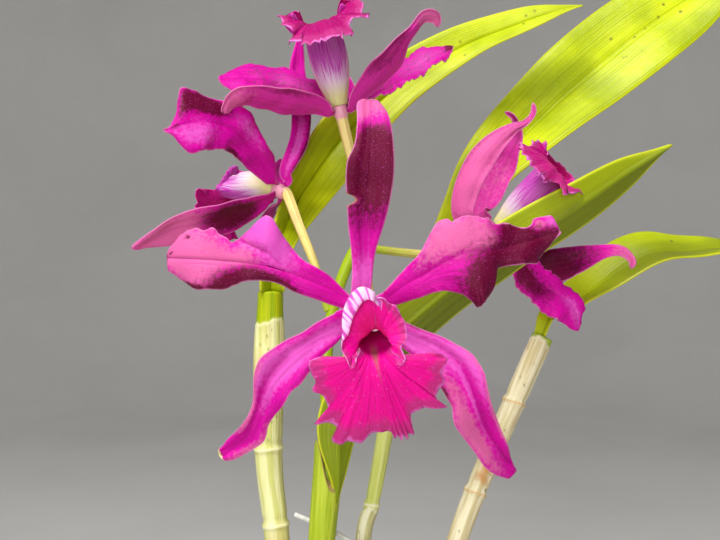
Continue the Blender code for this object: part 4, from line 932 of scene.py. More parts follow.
def add_blade(name, route, widths, face, fold, curl, thickness, grid, shape, material):
    """A leaf, sepal or petal: a sheet along the route. The widths are its half-widths to the left and
    right, the face is the way its upper side faces, fold and curl are in degrees, and the shape holds its
    relief and looks."""
    line = even_route(route)
    length = length_of(line)
    shares = np.linspace(0, 1, grid[0] + 1)
    t = shares[:, None]
    v = np.linspace(-1, 1, grid[1] + 1)[None, :]
    out = np.abs(v)
    middle = along_curve(line, shares)
    along = np.array([direction(line, share) for share in shares])
    faces = along_curve(face, shares) if len(face) > 1 else np.tile(face[0], (len(shares), 1))
    side = unit(np.cross(along, faces))
    normal = np.cross(side, along)
    if "reach" in shape:
        left, right = (reach(middle, side * sign) for reach, sign in zip(shape["reach"], (-1, 1)))
        half = np.where(v > 0, right[:, None], left[:, None])
    else:
        tip = shape.get("tip", 0.06)
        rounded = np.sqrt(np.clip(1 - np.clip((t - 1 + tip) / tip, 0, 1) ** 2, 0.004, 1))
        left, right = (along_curve(side_widths, shares) for side_widths in widths)
        half = np.where(v > 0, right[:, None], left[:, None]) * rounded
    brown = patches(shape.get("brown", ()), t, v)
    if "bite" in shape:
        at, sign, size, deep = shape["bite"]
        off = (t - at) * length / size
        half = half - deep * np.sqrt(np.clip(1 - off ** 2, 0, 1)) * (v * sign > 0)
        brown = brown + (np.abs(off) < 1.25) * (v * sign > 0) * bump_curve((1 - out) * half, 0.55)
    rise = np.radians(along_curve(fold, shares))[:, None]
    turn = math.radians(curl)
    run = np.sign(v) * (np.sin(rise + turn * out) - np.sin(rise)) / turn
    lift = (np.cos(rise) - np.cos(rise + turn * out)) / turn
    across = v * half
    relief = blade_relief(name, t, v, across, shape)
    # A darker line along the midrib; the creases add painted shade along their grooves
    midrib_line_and_crease_shade = np.zeros_like(half)
    if shape.get("midrib", True):
        midrib_line_and_crease_shade = 0.45 * bump_curve(across, 0.5) * np.minimum(1, 3 * t)
    edges = (half[:, 0], half[:, -1])
    relief, midrib_line_and_crease_shade = with_creases(shape.get("creases", ()), t, across, edges, length, relief, midrib_line_and_crease_shade)
    places = middle[:, None] + (half * run)[..., None] * side[:, None]
    places = places + (half * lift + relief)[..., None] * normal[:, None]
    flat = np.zeros_like(half)
    tip_spot = shape.get("tip_spot", 1.0)
    # line holds the darker midrib line and the painted shade along the grooves
    values = {"margin": np.minimum((1 - out) * half, (1 - t) * length) + flat,
              "pale": patches(shape.get("pale", ()), t, v), "dark": patches(shape.get("deep", ()), t, v),
              "warm": patches(shape.get("warm", ()), t, v), "line": np.clip(midrib_line_and_crease_shade, 0, 1),
              "brown": np.clip(brown, 0, 1) + flat, "share": t + flat,
              "spot": eased(t, tip_spot, tip_spot + 0.01) + flat}
    normals = np.broadcast_to(normal[:, None], places.shape)
    return add_sheet(name, places, normals, values, thickness, TEPAL_EDGE, TEPAL_FADE, material)


def add_stem(name, line, radius, grid, material, values=None, node=None, cap=0.35, slant=None):
    """A stem along the line. The radius and the values come from the share along it and the angle round it.
    The cap says how far its ends bulge. A slant, a way and a length, draws the stem's end out on that
    side."""
    rows, around = grid
    shares = np.linspace(0, 1, rows + 1)
    middle = along_curve(line, shares)
    along = np.array([direction(line, share) for share in shares])
    across = np.empty_like(middle)
    across[0] = unit(np.cross(along[0], (0.3, 1, 0.2)))
    for number in range(1, rows + 1):
        across[number] = unit(across[number - 1] - along[number] * np.dot(across[number - 1], along[number]))
    up = np.cross(along, across)
    angles = np.linspace(0, 2 * math.pi, around + 1)[None, :]
    sizes = radius(shares[:, None], angles) + np.zeros((rows + 1, around + 1))
    ring = np.cos(angles)[..., None] * across[:, None] + np.sin(angles)[..., None] * up[:, None]
    places = middle[:, None] + sizes[..., None] * ring
    if slant:
        drawn = slant[1] * np.maximum(0, ring @ unit(slant[0])) ** 2 * eased(shares, 0.8, 1)[:, None]
        places = places + drawn[..., None] * along[:, None]
    table = {"share": shares[:, None] + np.zeros_like(sizes)}
    for key, made in (values or {}).items():
        table[key] = made(shares[:, None], angles) + np.zeros_like(sizes)
    rim = places[-1]
    end = np.mean(rim[:-1], axis=0)
    tops = []
    tails = []
    for bend in (1.0, 0.8, 0.5):
        inward = math.cos(bend * math.pi / 2)
        ahead = math.sin(bend * math.pi / 2) * cap
        tail = middle[0] - along[0] * ahead * sizes[0][:, None]
        tails.append(tail + (sizes[0] * inward)[:, None] * ring[0])
        tops.insert(0, end + along[-1] * ahead * sizes[-1][:, None] + (rim - end) * inward)
    places = np.concatenate([tails, places, tops])
    for key, made in table.items():
        table[key] = np.concatenate([[made[0]] * 3, made, [made[-1]] * 3])
    piece, _, _ = add_grid(name, places, table, weld=True)
    return keep(piece, node or name, material)


def join(name, pieces, node):
    """Several pieces made into one."""
    clear_selection()
    for piece in pieces:
        piece.select_set(True)
    bpy.context.view_layer.objects.active = pieces[0]
    bpy.ops.object.join()
    pieces[0].name = name
    return keep(pieces[0], node, pieces[0].data.materials[0])


def bloom_axes(bloom):
    """The way a bloom faces, its upward direction and the direction to its right."""
    facing = unit(bloom["facing"])
    right = unit(np.cross(bloom["up"], facing))
    return facing, np.cross(facing, right), right


def add_tepal(name, bloom, tepal, material):
    """A sepal or petal, from its claw beside the receptacle outwards."""
    petal = "petal" in name
    facing, _, _ = bloom_axes(bloom)
    centre = np.array(bloom["centre"], float)
    route = tepal["route"]
    out = unit(np.array(route[0]) - facing * np.dot(route[0], facing))
    foot = centre + facing * (PETAL_PLACE if petal else SEPAL_PLACE) + out * tepal.get("claw", CLAW_RADIUS)
    line = [foot, foot + out * 2.5, *(centre + np.array(point, float) for point in route)]
    shape = {**(PETAL_SHAPE if petal else SEPAL_SHAPE), **tepal}
    if "margins" in tepal:
        _, up, right_way = bloom_axes(BLOOMS["bloom_front"] if "seen" in tepal else bloom)
        shape["reach"] = [margin_reach(margin, centre, right_way, up) for margin in tepal["margins"]]
    left = tepal.get("left", (1,))
    add_blade(name, line, (left, tepal.get("right", left)), (tepal.get("face", bloom["facing"]),), TEPAL_FOLD,
              PETAL_CURL if petal else SEPAL_CURL, TEPAL_THICKNESS, bloom["grid"], shape, material)


def lip_axes(bloom):
    """The axes of a bloom's lip, which may be turned away from those of the bloom."""
    facing = bloom.get("lip_facing", bloom["facing"])
    return bloom_axes(dict(facing=facing, up=bloom.get("lip_up", bloom["up"])))


def lip_tube(bloom, share):
    """The middle of the lip's tube, its direction and its up direction, at a share of its length."""
    facing, up, _ = lip_axes(bloom)
    centre = np.array(bloom["centre"], float)
    size = bloom.get("lip_size", 1)
    line = even_route([centre + facing * (LIP_FOOT + ahead * size) + up * rise * size * bloom["droop"]
                       for ahead, rise in LIP_LINE], 16)
    along = direction(line, share)
    lift = unit(up - along * np.dot(up, along))
    return smooth_curve(line, share), along, lift


def on_tube(tube, size, v, beyond, rolled):
    """A place on the lip's tube, the way outwards there, and the tube's direction."""
    step = int(round(rolled * LIP_STEPS))
    middle, along, lift = tube[step]
    ahead = tube[min(LIP_STEPS, step + 1)][0] - tube[max(0, step - 1)][0]
    middle = middle + ahead * (rolled * LIP_STEPS - step) / 2
    wrap = float(smooth_curve(LIP_WRAP, rolled))
    angle = LIP_STRIP_ANGLE + (wrap - LIP_STRIP_ANGLE) * beyond
    if beyond == 0:
        angle = LIP_STRIP_ANGLE * abs(v) / LIP_STRIP
    angle = math.radians(math.copysign(angle, v))
    away = math.sin(angle) * np.cross(lift, along) - math.cos(angle) * lift
    lowered = 0.44 * eased(beyond, 0.05, 0.55) - 0.1 * eased(beyond, 0.6, 1)
    arch = 1 - float(eased(rolled, 0.6, 0.95) * lowered)
    return middle + float(smooth_curve(LIP_RADII, rolled)) * arch * size * away, away, along


def on_side_lobe(ring, away, facing, margin, swell, opened, wave):
    """A place on a side lobe, which opens out from the tube's ring to its own margin."""
    outward = unit(away - facing * np.dot(away, facing))
    knee = (ring + margin) / 2 + outward * swell - facing * 1.5
    flap = (1 - opened) ** 2 * ring + 2 * opened * (1 - opened) * knee + opened ** 2 * margin
    return flap + facing * wave * opened ** 2


def on_middle_lobe(spot, along, facing, goal, fan, s):
    """A place on the middle lobe, at the share s of the way from the mouth to the lobe's margin."""
    knee = spot + along * (LOBE_AHEAD[0] + (LOBE_AHEAD[1] - LOBE_AHEAD[0]) * abs(fan))
    spot = (1 - s) ** 2 * spot + 2 * s * (1 - s) * knee + s * s * goal
    for tall, sharp, rate, phase in LOBE_RUFFLES:
        spot = spot + facing * (tall * s ** sharp * math.sin(rate * math.pi * fan + phase))
    return spot


def add_lip(name, bloom, fine, material):
    """The lip: a tube round the column whose side lobes spread at its mouth, and past it the middle lobe,
    which fans out, turns downwards and has a ruffled, toothed margin. The grid's first half is the tube and
    the side lobes, and its second half, of which only the middle strip stays, is the middle lobe."""
    rows, columns = LIP_GRID if fine else PLAIN_LIP_GRID
    vs = np.linspace(-1, 1, columns + 1)
    facing, up, right_way = lip_axes(bloom)
    size = bloom.get("lip_size", 1)
    lobe_size = bloom.get("lobe_size", 1)
    flare = bloom.get("flare", 1)
    low, more, power = bloom.get("lobe_depth", LOBE_DEPTH)
    centre = np.array(bloom["centre"], float)
    tube = [lip_tube(bloom, share) for share in np.linspace(0, 1, LIP_STEPS + 1)]
    axes = np.array([right_way, up, facing]).T
    mouth = centre + facing * LIP_MIDDLE[0] * size + up * LIP_MIDDLE[1] * size * bloom["droop"]
    places = np.zeros((rows + 1, columns + 1, 3))
    inward = np.zeros_like(places)
    shape = {key: np.zeros((rows + 1, columns + 1)) for key in ("margin", "throat", "wedge", "reach", "cut")}
    for j, v in enumerate(vs):
        out = abs(v)
        beyond = max(0, (out - LIP_STRIP) / (1 - LIP_STRIP))
        lobe = float(eased(beyond, 0, LOBE_JOIN))
        fan = max(-1, min(1, v / LIP_STRIP))
        side = SIDE_LOBES[0 if v < 0 else 1]
        reach = mouth + axes @ (*smooth_curve(side["margin"], beyond), 0) * size
        reach = reach + facing * (smooth_curve(side["ahead"], beyond) * size - np.dot(reach - centre, facing))
        swell = float(smooth_curve(side["bulge"], beyond))
        rolled_back = float(eased(swell, 0.3, 2.6))
        wave = 0.35 * math.sin(beyond * 40 + v * 4) + 0.3 * math.sin(beyond * 83 + v * 9)
        rim = smooth_curve(MIDDLE_LOBE, (fan + 1) / 2)
        end = rim * LOBE_SCALE * lobe_size + np.multiply(LOBE_MIDDLE, size)
        height = np.clip(1 + (rim[1] + 3) / 24, 0, 1)
        depth = (low + more * height ** power) * lobe_size + LIP_MIDDLE[0] * (size - lobe_size)
        goal = mouth + right_way * end[0] + up * end[1]
        goal = goal + facing * (depth - np.dot(goal - centre, facing))
        for i, t in enumerate(np.linspace(0, 1, rows + 1)):
            share = min(2 * t, 1)
            rolled = share + (min(1, share / TUBE_SHARE) - share) * lobe
            ring, away, along = on_tube(tube, size, v, beyond, rolled)
            opened = max(0, (share - TUBE_SHARE) / (1 - TUBE_SHARE))
            margin = ring + (reach - ring) * flare
            flap = on_side_lobe(ring, away, facing, margin, 2 * swell * flare, opened, wave)
            spot = ring + (flap - ring) * lobe
            if t > 0.5:
                s = 2 * t - 1
                spot = on_middle_lobe(spot, along, facing, goal, fan, s)
                inward[i, j] = unit(facing * (0.2 + s) - away * (1 - s) + up * 0.3)
                shape["cut"][i, j] = out > LIP_STRIP + 1e-6
                shape["margin"][i, j] = min((1 - s) * 18, (1 - abs(fan)) * (6 + 14 * s))
                shape["wedge"][i, j] = eased(1.0 - abs(fan) * 3.2 - s * 1.6, 0, 0.9)
            else:
                tilt = 1.2 * (1 - 2 * opened) * min(1, 14 * opened) * rolled_back
                inward[i, j] = facing * (tilt + min(3, 20 * opened) * (1 - rolled_back)) - away
                shape["margin"][i, j] = min((1 - out) * 16 + 2.6, 5 if beyond == 0 else (1 - 2 * t) * 25)
                shape["throat"][i, j] = 1 - eased(t, 0.3, 0.37) * eased(beyond, 0, 0.1)
                shape["wedge"][i, j] = eased(1.0 - abs(fan) * 3.2, 0, 0.9) * eased(t, 0.34, 0.46)
            if t > 0.5 or beyond == 0:
                shape["throat"][i, j] = 1 - eased(t, 0.24, 0.5)
            places[i, j] = spot
            shape["reach"][i, j] = t
    shape["cut"][:rows // 2 + 1] = np.abs(vs) > LIP_STRIP + 1e-6
    shape["cut"][:rows // 2] = 0
    add_sheet(name, places, inward, shape, LIP_THICKNESS, LIP_EDGE, LIP_FADE, material)


def add_column(name, bloom, material):
    """The column: a club inside the lip's tube, with the paler anther cap at its end."""
    points = []
    for share in np.linspace(0, 1, 9):
        middle, _, lift = lip_tube(bloom, COLUMN_REACH * share)
        points.append(middle + lift * COLUMN_RISE * bloom.get("lip_size", 1) * share)
    line = even_route(points, 20)

    def radius(share, angle):
        club = along_curve(COLUMN_RADII, share[:, 0])[:, None]
        return club * (1 - 0.25 * eased(share, 0.93, 1)) - 0.35 * bump_curve(share - 0.84, 0.02) + 0 * angle

    add_stem(name, line, radius, (44, 24), material,
             {"cap": lambda share, angle: eased(share, 0.83, 0.86)})


def add_ovary(name, bloom, material):
    """The pedicel, which thickens into the ridged ovary and ends in the receptacle that carries the
    bloom."""
    facing, _, _ = bloom_axes(bloom)
    centre = np.array(bloom["centre"], float)
    neck = centre - facing * (RECEPTACLE_BACK + 2.4)
    receptacle = (centre - facing * RECEPTACLE_BACK, centre + facing * RECEPTACLE_FRONT)
    line = even_route([*bloom["pedicel"], neck, *receptacle])
    length = length_of(line)
    last = 1 - (RECEPTACLE_BACK + RECEPTACLE_FRONT) / length

    def radius(share, angle):
        plain = along_curve(PEDICEL_RADII, share[:, 0])[:, None]
        ridged = plain * (1 + 0.07 * eased(share, 0.45, 0.8) * np.cos(OVARY_RIDGES * angle))
        return ridged + (RECEPTACLE_RADIUS - ridged) * eased(share, last - 0.03, last + 0.02)

    add_stem(name, line, radius, (90, 30), material,
             {"end": lambda share, angle: eased(share, last - 0.04, last)})


def cane_line(name):
    """Even points on a cane's line."""
    return even_route(CANES[name]["route"], 61)


def cane_end(name, offset, clear):
    """A place on the end of a cane, just above its flat top, and the cane's direction there."""
    line = cane_line(name)
    axis = direction(line, 1)
    across = unit(np.cross((0, 1, 0), axis))
    place = line[-1] + axis * clear + across * offset[0] + np.cross(axis, across) * offset[1]
    return place, axis


def from_cane(name, offset, route, clear):
    """A route that leaves a cane's end straight, and then follows the given points."""
    place, axis = cane_end(name, offset, clear)
    return [tuple(place), tuple(place + axis * LEAF_STEM), *route]


def add_cane(name, material):
    """A cane with a raised ring at each of its nodes, and its dry sheath, which ends in a torn edge."""
    cane = CANES[name]
    line = cane_line(name)
    length = length_of(line)
    chance = random.Random(name)
    heights = line[:, 2]
    rings_at = [float(np.interp(height, heights, np.linspace(0, 1, len(line)))) for height in cane["rings"]]
    phases = [chance.uniform(0, 6) for _ in range(4)]

    def tear(angle):
        return cane["sheath"] + (1.5 * np.sin(angle + phases[0]) + 0.5 * np.sin(3 * angle + phases[1])
                                 + 0.35 * np.sin(9 * angle + phases[2])) / length

    def dry(share, angle):
        return eased(tear(angle) - share, 0, 0.4 / length)

    def radius(share, angle):
        size = along_curve(cane["radii"], share[:, 0])[:, None] + CANE_SHEATH * dry(share, angle)
        size = size + 0.1 * np.sin(5 * angle + phases[3] + 9 * share) * dry(share, angle)
        for middle in rings_at:
            size = size + RING_HEIGHT * bump_curve((share - middle) * length, RING_WIDTH)
            size = size - 0.25 * bump_curve((share - middle) * length - 2.6, 1.4)
        return size

    def ring(share, angle):
        sway = 0.4 * np.sin(2 * angle)
        marks = sum(bump_curve((share - middle) * length + sway, 0.5) for middle in rings_at)
        return marks + ("slant" in cane) * eased(share, 1 - 1.2 / length, 1)

    def edge(share, angle):
        return bump_curve((share - tear(angle)) * length + 0.5, 0.7)

    add_stem(name, line, radius, (360, 48), material, {"dry": dry, "ring": ring, "edge": edge},
             cap=0.12, slant=cane.get("slant"))


def turned(name, profile, around):
    """A turned shape: a profile of radius and height spun round +Z."""
    angles = np.linspace(0, 2 * math.pi, around + 1)
    profile = np.array(profile, float)
    places = np.stack([profile[:, :1] * np.cos(angles), profile[:, :1] * np.sin(angles),
                       np.repeat(profile[:, 1:], around + 1, axis=1)], axis=2)
    piece, _, _ = add_grid(name, places, {}, weld=True)
    return piece


def rounded_profile(corners):
    """The corners of a profile, each rounded off."""
    points = [corners[0]]
    for before, corner, after in zip(corners[:-2], corners[1:-1], corners[2:]):
        before, corner, after = (np.array(place, float) for place in (before, corner, after))
        back = min(POT_ROUNDING, np.linalg.norm(before - corner) / 2.2)
        ahead = min(POT_ROUNDING, np.linalg.norm(after - corner) / 2.2)
        start = corner + unit(before - corner) * back
        end = corner + unit(after - corner) * ahead
        for share in np.linspace(0, 1, ROUNDING_STEPS):
            points.append((1 - share) ** 2 * start + 2 * share * (1 - share) * corner + share ** 2 * end)
    points.append(corners[-1])
    return [tuple(point) for point in points]


def add_pot(material):
    """A clay pot with a rim band, and drain holes round the middle of its floor."""
    rim_inside = POT_RIM_RADIUS - POT_WALL
    band = POT_HEIGHT - POT_RIM_HEIGHT
    corners = [(0, 0), (POT_BASE_RADIUS, 0), (POT_SHOULDER_RADIUS, band), (POT_RIM_RADIUS - 2, band),
               (POT_RIM_RADIUS, POT_HEIGHT), (rim_inside, POT_HEIGHT),
               (POT_SHOULDER_RADIUS - POT_WALL, band - 1.5), (POT_BASE_RADIUS - POT_WALL, POT_FLOOR),
               (0, POT_FLOOR)]
    pot = turned("clay_pot", rounded_profile(corners), 128)
    for number in range(DRAIN_HOLES):
        angle = 2 * math.pi * (number + 0.5) / DRAIN_HOLES
        place = (DRAIN_PLACE * MM * math.cos(angle), DRAIN_PLACE * MM * math.sin(angle), 0)
        clear_selection()
        bpy.ops.mesh.primitive_cylinder_add(vertices=40, radius=DRAIN_RADIUS * MM, depth=3 * POT_FLOOR * MM,
                                            location=place)
        hole = bpy.context.object
        apply_modifier(pot, "BOOLEAN", object=hole, operation="DIFFERENCE", solver="EXACT")
        bpy.data.objects.remove(hole, do_unlink=True)
    pot.data.shade_smooth()
    return keep(pot, "pot", material)


def pot_inside(height):
    """The pot's inner radius at a height."""
    band = POT_HEIGHT - POT_RIM_HEIGHT - 1.5
    lower = POT_BASE_RADIUS - POT_WALL
    upper = POT_SHOULDER_RADIUS - POT_WALL
    return float(np.interp(height, (POT_FLOOR, band, POT_HEIGHT), (lower, upper, POT_RIM_RADIUS - POT_WALL)))


def root_line(start, end):
    """A root's line: it arches from the rhizome's line and dives into the mix."""
    x0, y0 = start
    x1, y1 = end
    highest_point = (x0 + (x1 - x0) * 0.45, y0 + (y1 - y0) * 0.45, RHIZOME_HEIGHT + 2)
    dive = [(x1, y1, MIX_TOP + above) for above in (3.5, -4, -ROOT_DEPTH)]
    return even_route([(x0, y0, RHIZOME_HEIGHT), highest_point, *dive], 40)


def rhizome_line():
    """Even points on the rhizome's line."""
    return even_route([(x, y, RHIZOME_HEIGHT) for x, y in RHIZOME_ROUTE], 60)


def chip_shapes(chance, material):
    """A few bark chips of unlike shapes, each about one unit wide."""
    chips = []
    for number in range(CHIP_SHAPES):
        clear_selection()
        bpy.ops.mesh.primitive_cube_add(size=1)
        chip = bpy.context.object
        chip.name = f"chip_{number}"
        bpy.ops.object.mode_set(mode="EDIT")
        bpy.ops.mesh.select_all(action="SELECT")
        bpy.ops.mesh.subdivide(number_cuts=3)
        bpy.ops.object.mode_set(mode="OBJECT")
        for vert in chip.data.vertices:
            vert.co += Vector([chance.uniform(-0.07, 0.07) for _ in range(3)])
            vert.co.x += 0.25 * vert.co.y ** 2 * (1 if number % 2 else -1)
            vert.co.z += 0.2 * vert.co.x ** 2
        apply_modifier(chip, "BEVEL", width=0.03, segments=1)
        keep(chip, None, material)
        chips.append(chip)
    return chips


def add_mix(material):
    """The potting mix: a filling, and bark chips of many sizes over its top, clear of what grows there."""
    heights = (POT_FLOOR + MIX_GAP, POT_HEIGHT - POT_RIM_HEIGHT - 1.5, MIX_TOP - 1.5)
    wall = [(pot_inside(height) - MIX_GAP, height) for height in heights]
    filling = turned("mix_filling", [(0, heights[0]), *wall, (0, heights[-1])], 96)
    keep(filling, None, material)
    chance = random.Random(7)
    templates = chip_shapes(chance, material)
    taken = [tuple(point[:2]) for point in rhizome_line()[::4]]
    for start, end in ROOTS:
        taken += [tuple(point[:2]) for point in root_line(start, end)[::3]]
    taken.append(WIRE_ROUTE[-1][:2])
    chips = []
    for number in range(CHIPS):
        angle = chance.uniform(0, 2 * math.pi)
        size = Vector((chance.uniform(6, 11), chance.uniform(4.5, 8), chance.uniform(2.5, 5)))
        if number % 3 == 0:
            size *= 0.55
        reach = (pot_inside(MIX_TOP) - 1.5 - size.x * 0.62) * math.sqrt(chance.random())
        x = reach * math.cos(angle)
        y = reach * math.sin(angle)
        near = min(math.hypot(x - a, y - b) for a, b in taken)
        if near < size.x * 0.5 + 2.5:
            size *= 0.45
        if near < size.x * 0.5 + 2.2:
            continue
        turn = Matrix.Rotation(chance.uniform(0, 2 * math.pi), 4, "Z")
        turn = turn @ Matrix.Rotation(chance.uniform(-0.35, 0.35), 4, "X")
        turn = turn @ Matrix.Rotation(chance.uniform(-0.3, 0.3), 4, "Y")
        place = Matrix.Translation(Vector((x, y, MIX_TOP - 1.2 + chance.uniform(0, 2.2))) * MM)
        chip = templates[number % CHIP_SHAPES].copy()
        chip.data = chip.data.copy()
        chip.data.transform(place @ turn @ Matrix.Diagonal((*(size * MM), 1)))
        bpy.context.scene.collection.objects.link(chip)
        chips.append(chip)
    for chip in templates:
        bpy.data.objects.remove(chip, do_unlink=True)
    join("potting_mix", [filling, *chips], "bark_mix")


def add_rhizome(material):
    """The creeping rhizome, ringed where its old bracts were, with its roots."""
    line = rhizome_line()
    length = length_of(line)

    def radius(share, angle):
        ends = 1 - 0.4 * bump_curve(share, 0.03) - 0.4 * bump_curve(1 - share, 0.03)
        rings = 0.35 * np.maximum(0, np.sin(share * length / RHIZOME_RING_STEP * 2 * math.pi)) ** 6
        return RHIZOME_RADIUS * 0.96 * ends + rings + 0.12 * np.sin(4 * angle + 20 * share)

    parts = [add_stem("rhizome_body", line, radius, (240, 32), material, node="rhizome")]
    for number, (start, end) in enumerate(ROOTS):
        def thin(share, angle, phase=number):
            size = ROOT_RADIUS * (1 - 0.5 * eased(share, 0.93, 1))
            return size + 0.1 * np.sin(share * 31 + phase) + 0.06 * np.sin(3 * angle + 17 * share)

        parts.append(add_stem(f"root_{number}", root_line(start, end), thin, (70, 18), material,
                              node="rhizome"))
    join("rhizome_and_roots", parts, "rhizome")


def column_look(name):
    """The column's finish: pink, and paler on its cap."""
    look = Look(name, 0.38, Specular_IOR_Level=0.5, Subsurface_Weight=0.1, Subsurface_Scale=0.002)
    clouds = look.noise(look.place(300, 300, 300), 3.0)
    colour = look.mix(look.ramp(clouds, 0.35, 0.7), shade(206, 96, 170), shade(236, 176, 214))
    cap = look.mix(look.ramp(clouds, 0.4, 0.6), shade(248, 224, 236), shade(232, 168, 206))
    colour = look.mix(look.value("cap"), colour, cap)
    look.bump((clouds, 0.3))
    return look.colour(colour)


def add_stage():
    """A pale floor that runs up into a round wall far behind."""
    profile = [(0, 0), (FLOOR_RADIUS, 0)]
    for share in np.linspace(0.1, 1, 12):
        turn = share * math.pi / 2
        profile.append((FLOOR_RADIUS + WALL_BEND * math.sin(turn), WALL_BEND - WALL_BEND * math.cos(turn)))
    profile.append((FLOOR_RADIUS + WALL_BEND, WALL_HEIGHT))
    floor = turned("floor", profile, 96)
    clear_selection()
    floor.select_set(True)
    bpy.context.view_layer.objects.active = floor
    bpy.ops.object.mode_set(mode="EDIT")
    bpy.ops.mesh.select_all(action="SELECT")
    bpy.ops.mesh.flip_normals()
    bpy.ops.object.mode_set(mode="OBJECT")
    papers = (shade(214, 212, 208), shade(220, 218, 214), shade(217, 215, 211))
    floor.data.materials.append(plain_look("pale_paper", papers, 3, 0.9, 60, 0.05, specular=0.1))


def add_light(name, place, aim, size, power):
    """A round soft light at a place in metres, turned to where it aims."""
    lamp = bpy.data.lights.new(name, "AREA")
    lamp.shape = "DISK"
    lamp.size = size
    lamp.energy = power
    light = bpy.data.objects.new(name, lamp)
    light.location = place
    light.rotation_euler = (Vector(aim) - Vector(place)).to_track_quat("-Z", "Y").to_euler()
    light.visible_camera = False
    bpy.context.scene.collection.objects.link(light)


def add_camera():
    """The camera of the photograph, level and straight in front of the front bloom."""
    camera = bpy.data.cameras.new("camera")
    camera.lens = CAMERA_LENS
    camera.sensor_width = CAMERA_SENSOR
    camera.clip_start = 0.02
    camera.clip_end = 20
    viewer = bpy.data.objects.new("camera", camera)
    viewer.location = CAMERA_PLACE
    viewer.rotation_euler = (math.pi / 2, 0, 0)
    bpy.context.scene.collection.objects.link(viewer)
    bpy.context.scene.camera = viewer


def cane_looks():
    """The finishes of the canes: skin, streak, sheath, sheath streak, spots and how many, and ring marks."""
    return {
        "cane_cream": cane_look("cane_cream", shade(150, 176, 0), shade(184, 196, 10), shade(232, 230, 170),
                                shade(206, 206, 120), shade(190, 160, 90), 0.35, shade(246, 240, 196)),
        "cane_green": cane_look("cane_green", shade(158, 178, 30), shade(186, 200, 60), shade(206, 204, 130),
                                shade(176, 164, 90), shade(150, 110, 66), 0.4, shade(150, 104, 84)),
        "cane_olive": cane_look("cane_olive", shade(196, 204, 96), shade(214, 218, 130), shade(236, 232, 196),
                                shade(186, 180, 110), shade(150, 116, 66), 0.4, shade(248, 242, 224)),
        "cane_paper": cane_look("cane_paper", shade(140, 170, 40), shade(170, 190, 70), shade(236, 226, 190),
                                shade(206, 190, 140), shade(190, 128, 60), 0.85, shade(214, 170, 104)),
    }


def add_base():
    """The pot, its mix, the rhizome with its roots, and the canes that stand on it."""
    clays = (shade(186, 104, 70), shade(198, 120, 84), shade(214, 150, 116))
    add_pot(plain_look("clay", clays, 26, 0.85, 420, 0.08))
    barks = (shade(84, 54, 36), shade(128, 88, 58), shade(58, 38, 28))
    add_mix(plain_look("bark", barks, 240, 0.9, 900, 0.3))
    roots = (shade(178, 174, 150), shade(198, 196, 172), shade(132, 124, 90))
    add_rhizome(plain_look("root", roots, 130, 0.8, 700, 0.15))
    finishes = cane_looks()
    for name, cane in CANES.items():
        add_cane(name, finishes[cane["finish"]])


def add_leaves():
    """The leaves, and the sheath at the foot of the flower stalk."""
    finish = leaf_look("leaf", shade(158, 174, 0), shade(204, 216, 14), shade(112, 128, 0),
                       shade(206, 212, 40))
    for name, leaf in LEAVES.items():
        route = from_cane(leaf["cane"], leaf["offset"], leaf["route"], leaf.get("start", LEAF_START))
        shape = {**LEAF_SHAPE, **{key: leaf[key] for key in ("pale", "deep", "brown") if key in leaf}}
        widths = (leaf.get("left", leaf["widths"]), leaf["widths"])
        add_blade(name, route, widths, leaf["face"], leaf["fold"], LEAF_CURL, LEAF_THICKNESS, LEAF_GRID,
                  shape, finish)
    route = from_cane(SHEATH["cane"], SHEATH["offset"], SHEATH["route"], LEAF_START)
    add_blade("flower_sheath", route, (SHEATH["widths"], SHEATH["widths"]), SHEATH["face"], SHEATH["fold"], 1,
              SHEATH_THICKNESS, SHEATH_GRID, SHEATH_SHAPE, finish)


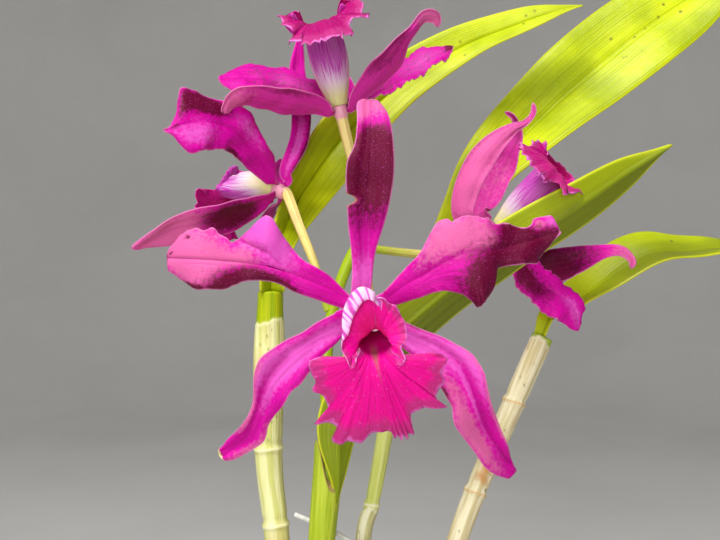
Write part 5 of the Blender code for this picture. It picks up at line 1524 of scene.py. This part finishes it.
def add_stalk_and_wire():
    """The flower stalk and the support wire."""
    def stalk_radius(share, angle):
        return STALK_RADIUS + 0.08 * np.sin(5 * angle)

    def wire_radius(share, angle):
        return WIRE_RADIUS + 0 * share

    line = even_route(from_cane("cane_front", (0, 0), STALK_ROUTE, STALK_START))
    finish = stalk_look("flower_stalk", shade(140, 176, 8), shade(160, 186, 20), shade(176, 190, 60))
    add_stem("flower_stalk", line, stalk_radius, STALK_GRID, finish)
    coats = (shade(228, 228, 222), shade(236, 236, 230), shade(200, 196, 184))
    finish = plain_look("coated_wire", coats, 200, 0.35, 800, 0.05)
    add_stem("support_wire", even_route(WIRE_ROUTE), wire_radius, WIRE_GRID, finish)


def add_blooms():
    """The four blooms, each with its ovary, tepals, lip and column."""
    pink = tepal_look("tepal", shade(96, 0, 44), shade(212, 0, 158), shade(220, 88, 190),
                      shade(216, 100, 156), shade(196, 48, 142))
    lip_front = lip_look("lip_front", shade(244, 0, 150), shade(196, 0, 112), shade(238, 206, 242), 0)
    lip_rear = lip_look("lip_rear", shade(206, 0, 132), shade(150, 0, 84), shade(242, 214, 236), 0.8)
    # The top bloom's lip is a darker copy of the rear lips' finish: painted shade for its face, which looks up
    # into the key light
    lip_top_painted_shade = lip_look("lip_top_painted_shade", shade(172, 0, 106), shade(122, 0, 68), shade(242, 214, 236), 0.8)
    lips = {"bloom_front": lip_front, "bloom_top": lip_top_painted_shade}
    column = column_look("column")
    pedicel = stalk_look("pedicel", shade(170, 186, 40), shade(236, 214, 130), shade(206, 150, 110))
    for name, bloom in BLOOMS.items():
        add_ovary(f"{name}_ovary", bloom, pedicel)
        for part, tepal in bloom["tepals"].items():
            add_tepal(f"{name}_{part}", bloom, tepal, pink)
        add_lip(f"{name}_lip", bloom, name == "bloom_front", lips.get(name, lip_rear))
        add_column(f"{name}_column", bloom, column)


def add_studio():
    """The floor, two soft lights, the even light round them and the camera."""
    add_stage()
    add_light("key", (-0.3, -0.5, 1.25), (0, 0, 0.25), 0.5, 14)
    add_light("front", (-0.25, -1.5, 0.55), (0, 0, 0.28), 0.9, 14)
    world = bpy.data.worlds.new("studio")
    world.use_nodes = True
    world.node_tree.nodes["Background"].inputs["Color"].default_value = (0.9, 0.93, 1.0, 1)
    world.node_tree.nodes["Background"].inputs["Strength"].default_value = 0.28
    bpy.context.scene.world = world
    bpy.context.scene.view_settings.view_transform = "Standard"
    add_camera()


add_base()
add_leaves()
add_stalk_and_wire()
add_blooms()
add_studio()
